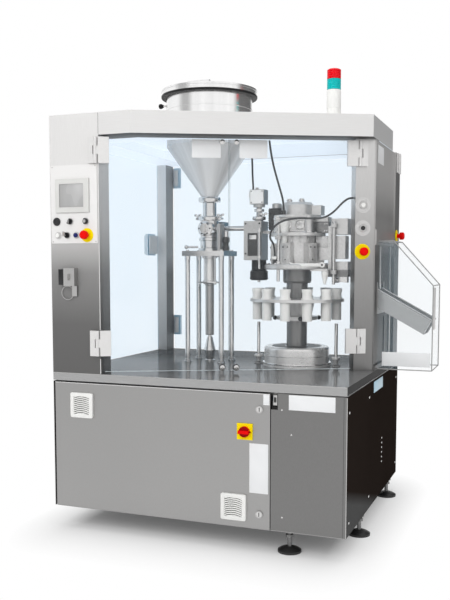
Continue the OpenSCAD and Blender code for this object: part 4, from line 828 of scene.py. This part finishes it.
def fanFilter(x, z):
    half, proud, rim, lap = fanSet["side"] / 2, fanSet["proud"], fanSet["rim"], fanSet["lap"]
    shell = cube((x - half, -proud, z - half), (x + half, 0, z + half))
    pick(shell, "FACE", lambda side: side.normal.y < -0.99)
    bpy.ops.mesh.inset(thickness=rim * mm)
    extrude(0, fanSet["recess"], 0)
    corners = shell.data.vertices

    def outward(v):
        away = max(abs(corners[v].co.x - x * mm), abs(corners[v].co.z - z * mm))
        return away > (half - fanSet["slack"]) * mm

    pick(shell, "EDGE", lambda edge: all(outward(v) for v in edge.vertices)
         and len({round(corners[v].co.y, 6) for v in edge.vertices}) == 2)
    bevel(fanSet["corner"], 4)
    pick(shell, "EDGE", lambda edge: all(outward(v) and corners[v].co.y < (1 - proud) * mm
                                         for v in edge.vertices))
    bevel(fanSet["chamfer"])
    bpy.ops.object.mode_set(mode="OBJECT")
    inner = half - rim + 1
    # The dark plate behind the louvres is painted shade in the slits
    rear, face = fanSet["shadeBacking"]
    pitch = (2 * (half - rim) + fanSet["spread"]) / fanSet["louvres"]
    parts = [done(shell, whitePlastic),
             block((x - inner, rear, z - inner), (x + inner, face, z + inner), darkSteel, 0.3)]
    first = archedLouvre(x, z - half + rim - fanSet["arch"] + lap, 2 * (half - rim) + lap,
                         pitch * fanSet["blade"])
    return parts + inRow(first, fanSet["louvres"], pitch)


piece("fanFilters", [part for place in fanSet["places"] for part in fanFilter(*place)],
      "cabinet_door", ["fan_filters"])
print("fan filters made")

# Signal tower: white foot, ribbed green and red lenses
towerSet = {"at": (1180, 700), "radius": 34, "ribs": 5, "sides": 40, "foot": 1949, "green": 2113,
            "red": 2164, "top": 2215,
            "footSteps": [(47, 0), (47, 6), (44, 9), (36, 14), (35, 16), (35, 70), (34, 71), (34, 73),
                          (35, 74), (35, 160), (33, 164)]}


def towerPart(name, steps, low, finish):
    part = turned(steps, (*towerSet["at"], low), finish, up, towerSet["sides"])
    piece(name, [part], "machine", ["signal_tower"])


def lensSteps(low, high, capped):
    r, h, ribs = towerSet["radius"], high - low, towerSet["ribs"]
    pitch = (h - 6) / ribs
    steps = [(r - 3, 0), (r - 3, 1)]
    for i in range(ribs):
        z = 2 + pitch * i
        steps += [(r, z), (r, z + pitch - 2.4), (r - 1.6, z + pitch - 1.6)]
    return steps + ([(r - 6, h - 2), (r - 14, h)] if capped else [(r, h - 3), (r, h)])


greenLow, redLow = towerSet["green"], towerSet["red"]
towerPart("towerFoot", towerSet["footSteps"], towerSet["foot"], whitePlastic)
towerPart("towerGreen", lensSteps(greenLow, redLow, False), greenLow, greenLens)
towerPart("towerRed", lensSteps(redLow, towerSet["top"], True), redLow, redLens)
print("signal tower made")

# Control column: screen glass and rims, plate screws, lock cheek, pointers, light edge strips that are
# partly painted highlight, key
makeGroup({
    "screenGlass": {
        "slot": "black_plastic",
        "blocks": [((56, -10.6, 1524), (185, -9.9, 1632), screenGrey, 0.3)]},
    "plateScrews": {
        "screws": [((x, -4, z), front, 3.0, latchSteel)
                   for x in (15, 244) for z in (1366, 1710)]},
    "lockCheek": {
        "slot": "black_plastic",
        "blocks": [((51.3, -23.2, 1165.2), (84.0, -0.2, 1237.8), blackPlastic, 1.2)]},
    "buzzerCap": {
        "slot": "black_plastic",
        "rounds": [([(19, 0), (19, 4), (17, 6), (15, 6.5), (15, 9.6), (12, 11.5), (6, 12.4)],
                    (37, -4, 1459), blackPlastic, front)]},
    "columnSeam": {
        "slot": "dark_metal",
        "blocks": [((258.2, -0.4, 1851), (259.8, 0.2, 1947), darkSteel, 0.2)]},
    "screenRim": {
        "slot": "brushed_stainless",
        "frames": [((53.5, -13, 1521.5), (187.5, -13, 1634.5), 3.2, 0.5, columnSteel),
                   ((33.5, -4.1, 1498.5), (213.5, -4.1, 1654.5), 3.0, 1.2, ringSteel)]},
    "modePointer": {
        "slot": "white_plastic", "body": "mode_selector",
        "blocks": [((107.6, -24.7, 1448), (110.4, -23.8, 1470), fittingSteel, 0.3)],
        "rings": [([(9.5, 9.2), (12.2, 9.2), (12.2, 10.0), (9.5, 10.2)], (110, -4, 1459),
                   blackPlastic, front, 32)]},
    "speedPointer": {
        "body": "speed_knob",
        "rounds": [([(7.5, 0), (7.5, 0.8), (6.2, 1.5), (3, 1.8)], (193, -21.9, 1459),
                    latchSteel, front, 28)]},
    # Light strips on the column's right edge: real edges in lighter steel, partly painted highlight
    "columnEdge": {
        "slot": "brushed_stainless",
        "blocks": [((256.4, -1.6, low), (260.4, 0.2, high), fittingSteel, 0.6)
                   for low, high in ((752, 822), (956, 1726))]},
    "panelKey": {
        "body": "key_selector",
        "bars": [((93, -18, 1395), (93, -34, 1395), 2.4, latchSteel)],
        "blocks": [((89.5, -46, 1389), (96.5, -33, 1412), latchSteel, 1.5)]},
})
print("control column dressed")

# Main switch: darker face behind the grip, and a pointer at its right
switchSet = {"pointer": ((991, -14.2, 526.5), (1003, -7.0, 539.5)), "tip": 0.2, "edge": 0.6}


def pointed(low, high, tip, finish):
    part = cube(low, high)
    pick(part, "FACE", lambda side: side.normal.x > 0.99)
    middle = [(a + b) / 2 * mm for a, b in zip(low, high)]
    bpy.ops.transform.resize(value=(1, 1, tip), center_override=(high[0] * mm, *middle[1:]))
    selectAll()
    bevel(switchSet["edge"])
    return done(part, finish)


# Cabinet: corner strip, panel screws, catch in the notch, lock faces, beads on the worktop's edges; the
# corner strip, the bottom bar and the beads are rounded edges in lighter steel, partly painted
# highlight
ventScrew = screwHead((1424, 782, 266), right, 5.4, brightSteel)
makeGroup({
    "cabinetTrim": {
        "parts": inRow(ventScrew, 6, 24.2),
        "blocks": [((1409.6, -0.5, 106), (1411.0, 3, 706), darkSteel, 0.2),
                   ((1098, 7, 655), (1117, 20, 700), latchSteel, 1.5),
                   ((1102, 3, 668), (1113, 8, 690), darkSteel, 1.0)],
        # Light bars on the corner and along the bottom edge: rounded edges, partly painted highlight
        "bars": [((1423.2, 0.6, 106), (1423.2, 0.6, 706), 1.8, latchSteel, 10),
                 ((1093, -0.2, 106), (1422, -0.2, 106), 1.2, latchSteel, 8)],
        "screws": [((x, 0, z), front, 4.6, brightSteel)
                   for x, z in ((1140, 638), (1183, 533), (1143, 168))]
                  + [((1424, y, z), right, 6.4, brightSteel) for y, z in
                     ((34, 639), (454, 642), (44, 163), (465, 167), (1196, 169), (1179, 647))]},
    # The black strip under the worktop's lip is painted shade for the gap there; the light bars on the
    # door's top and bottom edges are rounded edges in lighter steel, partly painted highlight
    "doorLines": {
        "slot": "brushed_stainless", "body": "cabinet_door",
        "blocks": [((12, -0.6, 704.4), (1086, 0.4, 708.4), gasketBlack, 0.3)],
        "bars": [((12, -0.6, 702.6), (1086, -0.6, 702.6), 1.8, fittingSteel, 8),
                 ((11, -0.2, 105), (1086, -0.2, 105), 1.2, latchSteel, 8)]},
    "switchPointer": {
        "slot": "red_plastic", "body": "switch_knob",
        "parts": [pointed(*switchSet["pointer"], switchSet["tip"], knobRed)],
        "rounds": [([(23.4, 0), (23.4, 0.6), (22.6, 1.2)], (972, -15.4, 533), knobRed,
                    front, 40)]},
    # Light beads on the worktop's edges: rounded edges, partly painted highlight
    "worktopBead": {
        "bars": [((2, 1.2, 748), (1422, 1.2, 748), 2.2, latchSteel, 10),
                 ((1424.2, 2, 713), (1424.2, 1238, 713), 1.3, latchSteel, 8),
                 ((1.2, 2, 748), (1.2, 1238, 748), 2.2, latchSteel, 10)]},
    **{name: {"body": body,
              "rings": [([(12.4, 4), (16.4, 4), (16.4, 6), (14.8, 6.8), (12.4, 6.2)], (1039, 0, z),
                         latchSteel, front, 32)],
              "blocks": [((1037.2, -5.6, z - 9), (1040.8, -4.6, z + 9), gasketBlack, 0.3)]}
       for name, body, z in (("upperLockFace", "door_lock_upper", 634),
                             ("lowerLockFace", "door_lock_lower", 170))},
})
print("cabinet dressed")

# Right wall and doors: cover strips, a hinge on the rear post, button discs, pane edges, seals
discRings = [([(17.5, 0), (27.5, 0), (29.6, 1.4), (29.6, 3.2), (28, 4.4), (21, 4.0), (19.5, 5.6),
               (17.5, 5.6)], ringSteel, 48),
             ([(15.2, 5.6), (17.8, 5.6), (17.8, 8.6), (16.8, 9.6), (15.2, 9.0)], latchSteel, 40)]
sealHeights = [(1838.2, 1845.4), (752.6, 759.8)]
catchSet = {"face": 67.6, "glass": 81.6, "low": 774, "rise": 1050}


def doorCatch(x, footLow, footHigh):
    cap = turned([(10.6, 0), (10.6, 0.8), (7.5, 2.2), (4.4, 2.8), (4.0, 1.6)],
                 (x, catchSet["face"], catchSet["low"]), brightSteel, front, 28, doorSpace)
    return {"slot": "clear_glass", "space": doorSpace, "parts": [cap, moved(cap, z=catchSet["rise"])],
            "rings": [([(12.1, 0.2), (15.4, 0.2), (15.4, 2.6), (14, 3.6), (12.1, 3.6)],
                       (x, catchSet["glass"], catchSet["low"]), gasketBlack, front, 36)],
            "blocks": [((footLow, 81.4, 760.2), (footHigh, 89.8, 762.6), footGlass, 0.5)]}


makeGroup({
    "wallStrips": {
        "slot": "brushed_stainless",
        "blocks": [((1414, 704, 1140), (1421, 722, 1352), latchSteel, 1.2),
                   ((1414, 978, 790), (1421, 994, 1352), latchSteel, 1.2),
                   ((1414, 842, 790), (1417, 846, 1000), darkSteel, 0.6)]},
    "postHinge": {
        "slot": "white_fittings",
        "blocks": [((1424, 1086, 1745), (1434, 1130, 1846), fittingSteel, 2.0),
                   ((1424, 1140, 1745), (1432, 1196, 1846), fittingSteel, 2.0)],
        "bars": [((1433, 1135, 1745), (1433, 1135, 1846), 8, fittingSteel)]},
    "postDiscs": {
        "space": doorSpace,
        "rings": [(section, (1090.9, 79.6, z), finish, front, sides)
                  for z in (1540, 1432) for section, finish, sides in discRings]},
    "leftPaneEdge": {
        "slot": "clear_glass", "body": "front_left_door", "space": doorSpace,
        "blocks": [((451.0, 81.3, 762), (453.4, 90.0, 1836), edgeGlass, 0.5)]},
    "rightPaneEdge": {
        "slot": "clear_glass", "body": "front_right_door", "space": doorSpace,
        "blocks": [((456.6, 81.3, 762), (459.0, 90.0, 1836), edgeGlass, 0.5)]},
    "sideSeal": {
        "slot": "clear_glass", "body": "side_door",
        "blocks": [((3, 106, low), (9, 1129, high), sideGlass, 0.8)
                   for low, high in sealHeights]},
    "rearSeal": {
        "slot": "clear_glass", "body": "rear_door",
        "blocks": [((71, 1231, low), (1323, 1237, high), rearGlass, 0.8)
                   for low, high in sealHeights]},
    "leftCatch": {"body": "front_left_door", **doorCatch(422, -128, 450)},
    "rightCatch": {"body": "front_right_door", **doorCatch(488, 460, 1042)},
})
print("right wall dressed")

# Outfeed: steel edging on the clear hood and a strip on its face, rolled rims on the chute
hoodSet = {"outline": [(1424, 754), (1683, 754), (1683, 1160), (1494, 1372), (1424, 1372)],
           "sides": (646.5, 898.5), "cross": (646, 899), "edge": 2.6}
chuteSet = {"slope": math.radians(29), "from": (1424, 1044), "in": 150, "out": 244, "side": 80,
            "y": (670, 820), "rim": 2.6, "end": 2.2}


def chutePoint(along, rise, y):
    c, s = math.cos(chuteSet["slope"]), math.sin(chuteSet["slope"])
    x, z = chuteSet["from"]
    return (x + along * c + rise * s, y, z - along * s + rise * c)


hoodOutline, (hoodNear, hoodFar) = hoodSet["outline"], hoodSet["cross"]
chuteEnd, chuteRise, (chuteNear, chuteFar) = chuteSet["out"], chuteSet["side"], chuteSet["y"]
chuteSides = (chuteNear + 1, chuteFar - 1)
makeGroup({
    "hoodEdging": {
        "slot": "brushed_stainless",
        "bars": [((a[0], y, a[1]), (b[0], y, b[1]), hoodSet["edge"], edgeSteel, 10)
                 for y in hoodSet["sides"] for a, b in zip(hoodOutline, hoodOutline[1:])]
                + [((x, hoodNear, z), (x, hoodFar, z), hoodSet["edge"], edgeSteel, 10)
                   for x, z in hoodOutline[1:4]],
        "blocks": [((1683.5, 662, 950), (1686.5, 720, 1150), fittingSteel, 0.8)]},
    "chuteRims": {
        "bars": [(chutePoint(-chuteSet["in"], chuteRise, y), chutePoint(chuteEnd, chuteRise, y),
                  chuteSet["rim"], brightSteel, 10) for y in chuteSides]
                + [(chutePoint(chuteEnd, 0, y), chutePoint(chuteEnd, chuteRise, y), chuteSet["end"],
                    brightSteel, 10) for y in chuteSides]
                + [(chutePoint(chuteEnd, 0.5, chuteNear), chutePoint(chuteEnd, 0.5, chuteFar),
                    chuteSet["end"], brightSteel, 10)]},
})
print("outfeed dressed")

# Hopper and dosing unit, measured from their own axis: a black ring under the rim and a bead, knob,
# clamps, nuts, ties
doseSpace = Matrix.Translation(spot(520, 700, 0))
doseSet = {"first": (-95, -75), "pitch": (190, 150), "clamps": (-64, 64), "flange": 31,
           "ties": [(x, y) for x in (-44, 44) for y in (-34, 34)]}
centre = (0, 0, 0)


def fourOf(first):
    x, y = doseSet["pitch"]
    return [first, moved(first, x), moved(first, 0, y), moved(first, x, y)]


doseFours = [
    turned([(21, 0), (21, 4), (19, 6), (15, 7), (15, 16), (13, 18)], (*doseSet["first"], 750),
           brightSteel, up, 24, doseSpace),
    turned([(12, 0), (13.5, 1.5), (13.5, 538), (12, 540)], (*doseSet["first"], 765.5), brightSteel, up,
           24, doseSpace),
    boltHead((*doseSet["first"], 1331), up, 9, brightSteel, doseSpace)]
flangeTurns = [math.radians(angle) for angle in range(0, 360, 60)]
makeGroup({
    "hopperTrim": {
        "rings": [([(224, 2116), (247.8, 2116), (249.4, 2119), (249.4, 2125), (247.8, 2127.4),
                    (224, 2127.4)], centre, gasketBlack),
                  ([(222, 2050), (224.2, 2051), (224.6, 2054), (224.2, 2057), (222, 2058)], centre,
                   hopperSteel)]},
    "hopperKnob": {
        "slot": "black_plastic",
        "bars": [((-216, 0, 2098), (-268, 0, 2098), 5, brightSteel)],
        "rounds": [([(6, 0), (8, 2), (8, 6), (12, 10), (13.5, 17), (12, 24), (6, 28)],
                    (-262, 0, 2098), gasketBlack, (-1, 0, 0), 24)]},
    "dosingTrim": {
        "parts": [part for first in doseFours for part in fourOf(first)]
                 + [part for x in doseSet["clamps"]
                    for part in wingNut((x, -8, 1507), brightSteel, doseSpace)],
        "rings": [([(40, 1583), (56, 1586), (58, 1592), (58, 1604), (56, 1610), (40, 1613)], centre,
                   brightSteel),
                  ([(47, 1488), (58, 1490), (60, 1495), (60, 1506), (58, 1511), (47, 1513)], centre,
                   brightSteel)],
        "bars": [((x, -20, 1500), (x, 20, 1500), 7, brightSteel) for x in doseSet["clamps"]]
                + [((-105, -60, 1352), (-48, -40, 1352), 6, brightSteel)],
        "balls": [((-108, -61, 1352), 11, brightSteel)],
        "blocks": [((74, -84, 1298), (92, -22, 1470), edgeSteel, 2.5)],
        "rounds": [([(20, 0), (23, 3), (23, 262), (25, 264), (25, 272), (22, 274)], (0, 0, 888),
                    chuteSteel),
                   ([(17, 0), (17, 20), (14, 24), (14, 40), (18, 44), (18, 66), (14, 70)],
                    (112, -50, 1331.5), darkSteel, up, 24),
                   ([(12, 0), (12, 30), (9, 34)], (112, -50, 1402), brightSteel, up, 20)],
        "bolts": [((doseSet["flange"] * math.cos(turn), -72.5,
                    1447 + doseSet["flange"] * math.sin(turn)), front, 4, darkSteel)
                  for turn in flangeTurns]},
    "cylinderTies": {
        "bars": [((x, y, 1163), (x, y, 1306), 4.5, brightSteel) for x, y in doseSet["ties"]],
        "bolts": [((x, y, 1163), (0, 0, -1), 8, brightSteel) for x, y in doseSet["ties"]],
        "blocks": [((-54, -44, 1163), (54, 44, 1171), brightSteel, 2.0)]},
}, doseSpace)
print("dosing unit dressed")

# Filling head: dark window, clamp rings, guide rod, connector screws
fillAxis = (795, 700, 0)
makeGroup({"fillHeadTrim": {
    "slot": "dark_metal",
    "parts": wingNut((825, 680, 1506), brightSteel),
    "blocks": [((752, 643.6, 1304), (806, 645.6, 1420), darkSteel, 0.8),
               ((762, 641, 1388), (800, 644.6, 1410), brightSteel, 1.5),
               ((810, 630, 1424), (826, 646, 1446), brightSteel, 2),
               ((810, 630, 1290), (826, 646, 1304), brightSteel, 2),
               # The white box takes the lighter white: painted light
               ((758, 664.2, 1570), (828, 666.2, 1638), litBoxWhite, 1.0),
               ((748, 676, 1600), (755.5, 700, 1630), whitePlastic, 2.0)],
    "bars": [((818, 636, 1238), (818, 636, 1440), 6, brightSteel)],
    "rings": [([(21, 1486), (33, 1488), (35, 1493), (35, 1500), (33, 1505), (21, 1507)], fillAxis,
               brightSteel),
              ([(14, 1528), (25, 1530), (26, 1536), (25, 1543), (14, 1545)], fillAxis, brightSteel),
              ([(44, 1184), (47.5, 1186), (47.5, 1194), (44, 1196)], fillAxis, gasketBlack)],
    "screws": [((x, 664.2, z), front, 3, darkSteel) for x in (764, 822) for z in (1576, 1632)],
    "bolts": [((x, 645, z), front, 5, darkSteel) for x in (741, 815) for z in (1316, 1468)]}})
print("filling head dressed")

# Turret and its head, measured from their own axis: what repeats round the axis is made once
turretAt = (1000, 700)
turretSpace = Matrix.Translation(spot(*turretAt, 0))
turretSet = {"eyes": (8, 168), "ports": [(-34, -30), (30, -34), (10, 40)], "coolRibs": 8,
             "ribPitch": 12, "capRise": 66, "faceGap": 66, "rodGap": 410}


def around(parts, angles):
    made = [swung(part, angle, turretAt) for angle in angles for part in parts]
    for part in parts:
        bpy.data.objects.remove(part)
    return made


carrierBolt = boltHead((152, 0, 1262), up, 7, brightSteel, turretSpace)
topBolt = boltHead((130, 0, 1416), up, 6, brightSteel, turretSpace)
capRing = ringPart([(19, 0), (22.5, 1), (22.5, 9), (19, 10)], (79.2, 79.2, 1416.5), brightSteel, up,
                   28, turretSpace)
bodyRib = block((-6, -104, 1368), (6, -96, 1400), castSteel, 2, turretSpace)
blockFace = [block((131, -20, 1272), (134.5, 20, 1358), castSteel, 1.5, turretSpace)] + [
    boltHead((134, y, z), right, 4, darkSteel, turretSpace)
    for y, z in ((-12, 1346), (12, 1346), (0, 1284))]
coolRib = block((-154, -10, 1446), (-85, 60, 1450), darkSteel, 1, turretSpace)
roundFace = turned([(24, 0), (24, 4), (21, 6), (14, 6.5), (13, 3)], (-30, -84, 1455), brightSteel,
                   front, space=turretSpace)
capRings = around([capRing, moved(capRing, z=turretSet["capRise"])], range(0, 360, 90))
headCopies = (around([carrierBolt], range(0, 360, 30)) + capRings
              + around([bodyRib], range(0, 360, 24)) + around(blockFace, range(20, 380, 60))
              + around([topBolt], [30 * i for i in range(12) if i not in (2, 9)])
              + [roundFace, moved(roundFace, turretSet["faceGap"])]
              + inRow(coolRib, turretSet["coolRibs"], turretSet["ribPitch"]))
rodSleeve = ringPart([(5.8, 785.2), (8.6, 785.2), (8.6, 963), (7.4, 965), (5.8, 965)], (-205, 0, 0),
                     brightSteel, up, 28, turretSpace)
rodCollar = ringPart([(8.4, 785.2), (20.5, 785.2), (21.5, 787), (21.5, 795), (20, 797), (8.4, 797)],
                     (-205, 0, 0), fittingSteel, up, 32, turretSpace)
makeGroup({
    "turretTrim": {
        "parts": headCopies,
        "bars": [((-63, -122, 1176), (-63, -122, 1476), 8, brightSteel),
                 ((203, -62, 1162), (203, -62, 1470), 8, brightSteel)]
                + [((x, -140, 1258), (x, -110, 1258), 6, brightSteel) for x in turretSet["eyes"]],
        "blocks": [((-78, -134, 1384), (-48, -60, 1404), castSteel, 3),
                   ((190, -76, 1440), (217, -44, 1462), castSteel, 3),
                   ((190, -76, 1212), (217, -44, 1232), castSteel, 3),
                   ((8, -152, 1250), (168, -144, 1266), whitePlastic, 3),
                   ((-152, -8, 1436), (-83, 58, 1546), darkSteel, 4),
                   ((-70, -88, 1424), (74, -83.5, 1432), brightSteel),
                   ((-70, -88, 1478), (74, -83.5, 1486), brightSteel),
                   ((-91, -138, 1286), (-69, -116, 1300), whitePlastic, 2.5),
                   ((104, -36, 1346), (170.5, 36, 1401), castSteel, 3),
                   ((90, -36, 1416.4), (170.5, 36, 1470), spindleSteel, 3),
                   ((90, -40, 1470.5), (168, 40, 1496), castSteel, 3)],
        "rounds": [([(14, 0), (14, 14), (12, 16)], (-63, -122, 1262), brightSteel, up, 24),
                   ([(13, 0), (14, 6), (16, 30), (26, 104), (28, 108), (28, 114)], (-38, -100, 1361),
                    whitePlastic, up, 24),
                   ([(24, 0), (24, 22), (20, 26)], (-118, 25, 1546), castSteel, up, 28),
                   ([(14, 0), (14, 5), (11, 7), (11, 20), (8, 22)], (-45, -93, 1506), darkSteel, up,
                    20),
                   ([(10.5, 0), (10.5, 22)], (-80, -127, 1263), darkSteel, up, 24)]
                  + [([(13, 0), (13, 9), (11, 11)], (x, -142, 1258), whitePlastic, front)
                     for x in turretSet["eyes"]]
                  + [([(5, 0), (5, 3)], (x, -152.5, 1258), darkSteel, front) for x in turretSet["eyes"]]
                  + [([(14.5, 0), (14.5, 5), (10, 7), (10, 11)], (x, y, 1577), brightSteel, up, 20)
                     for x, y in turretSet["ports"]],
        "bolts": [((x, -36, z), front, 4, brightSteel)
                  for x in (150, 162) for z in (1356, 1392, 1426, 1460)]},
    "sealFinger": {
        "slot": "white_plastic",
        "rounds": [([(6, 0), (6, 4), (17, 48), (17, 62), (15, 66)], (169, -100, 1163), whitePlastic)],
        "blocks": [((96, -108, 1228), (182, -90, 1240), brightSteel, 2)]},
    "ballKnobs": {
        "slot": "black_plastic", "body": "turret_disc",
        "parts": around([ball((112, 0, 991), 11.4, blackPlastic, 24, turretSpace)],
                        range(25, 385, 90))},
    "drumTrim": {
        # The dark ring on the drum's top is painted shade for its recess
        "rings": [([(60, 843.5), (126, 843.5), (127, 846), (126, 848.6), (60, 848.6)], centre,
                   darkSteel),
                  ([(164.8, 800), (166.2, 801), (166.2, 803), (164.8, 804)], centre, brightSteel),
                  ([(164.8, 768), (174, 767), (175, 764), (174, 760), (164.8, 760)], centre,
                   brightSteel)]},
    "rodSleeves": {
        "parts": [rodSleeve, moved(rodSleeve, turretSet["rodGap"]), rodCollar,
                  moved(rodCollar, turretSet["rodGap"])]},
}, turretSpace)
print("turret dressed")

# Floor: white but for a soft shade round the machine's foot
stageSet = {"floor": 40.0, "shade": (0.0, 0.44), "tone": grey(0.90), "lift": 0.10,
            "middle": (-0.11, 0, 0), "half": (0.60, 0.56, 1.0), "wide": (1.5, 1.0, 1.0)}


def seenRays(finish):
    camera, glossy, through = (finish.node("ShaderNodeLightPath", output=f"Is {ray} Ray")
                               for ray in ("Camera", "Glossy", "Transmission"))
    return camera.maths("MAXIMUM", camera.maths("MAXIMUM", camera, glossy), through)


def emptyTree(holder):
    holder.use_nodes = True
    holder.node_tree.nodes.clear()
    return Finish(holder.node_tree)


def mixShaders(finish, factor, first, second):
    return finish.node("ShaderNodeMixShader", None, {0: factor, 1: first, 2: second})


clearPick()
bpy.ops.mesh.primitive_plane_add(size=stageSet["floor"])
floor = bpy.context.object
floor.name = "paleFloor"
floorMaterial = bpy.data.materials.new("paleFloor")
ground = emptyTree(floorMaterial)
away = ground.vector("ABSOLUTE", ground.vector("SUBTRACT", ground.where(), stageSet["middle"]))
away = ground.vector("MAXIMUM", ground.vector("SUBTRACT", away, stageSet["half"]))
spread = ground.vector("LENGTH", ground.vector("MULTIPLY", away, stageSet["wide"]), output="Value")
openFloor = ground.span(spread, *stageSet["shade"]) * (1 - stageSet["lift"]) + stageSet["lift"]
plain = ground.node("ShaderNodeBsdfDiffuse", None, {"Color": stageSet["tone"]})
bright = ground.node("ShaderNodeEmission", None, {"Color": grey(1.0), "Strength": 1.0})
ground.node("ShaderNodeOutputMaterial", None,
            {"Surface": mixShaders(ground, openFloor * seenRays(ground), plain, bright)})
floor.data.materials.append(floorMaterial)

# World: white all round, with two dark screens that only shiny surfaces pick up
worldSet = {"left": (0.06, 0.10, 0.15, 0.19), "right": (0.50, 0.54, 0.71, 0.75), "leftShare": 0.6,
            "tall": 0.8, "soft": 0.55, "dark": grey(0.10)}
world = bpy.data.worlds.new("studio")
bpy.context.scene.world = world
sky = emptyTree(world)
toward = sky.node("ShaderNodeTexCoord", output="Generated")
skyX, skyY, skyZ = (sky.part(toward, axis) for axis in "XYZ")
turnShare = sky.span(skyX.maths("ARCTAN2", skyY, skyX), -math.pi, math.pi)
leftScreen, rightScreen = (sky.span(turnShare, a, b) - sky.span(turnShare, c, d)
                           for a, b, c, d in (worldSet["left"], worldSet["right"]))
lowSide = skyZ.maths("ABSOLUTE", skyZ, 0.0) < worldSet["tall"]
glossy = sky.node("ShaderNodeLightPath", output="Is Glossy Ray")
screened = (leftScreen * worldSet["leftShare"] + rightScreen) * lowSide * glossy
soft, white, dark = (sky.node("ShaderNodeBackground", None, {"Color": colour, "Strength": strength})
                     for colour, strength in ((grey(1.0), worldSet["soft"]), (grey(1.0), 1.0),
                                              (worldSet["dark"], 1.0)))
seen = mixShaders(sky, screened, white, dark)
sky.node("ShaderNodeOutputWorld", None, {"Surface": mixShaders(sky, seenRays(sky), soft, seen)})

# Lamps: place, size and power, all aimed at the machine's middle
lampAim = Vector((0, 0, 1.1))
lampSet = {"keyLamp": ((-1.0, -4.2, 3.2), 3.0, 80.0), "fillLamp": ((3.2, -3.4, 2.8), 2.4, 30.0),
           "topLamp": ((0.2, 0.3, 4.6), 3.0, 70.0)}
for name, (place, size, power) in lampSet.items():
    bpy.ops.object.light_add(type="AREA", location=place)
    lamp = bpy.context.object
    lamp.name = name
    lamp.data.size = size
    lamp.data.energy = power
    lamp.visible_glossy = False
    lamp.rotation_euler = (lampAim - Vector(place)).to_track_quat("-Z", "Y").to_euler()
print("floor and lamps set")
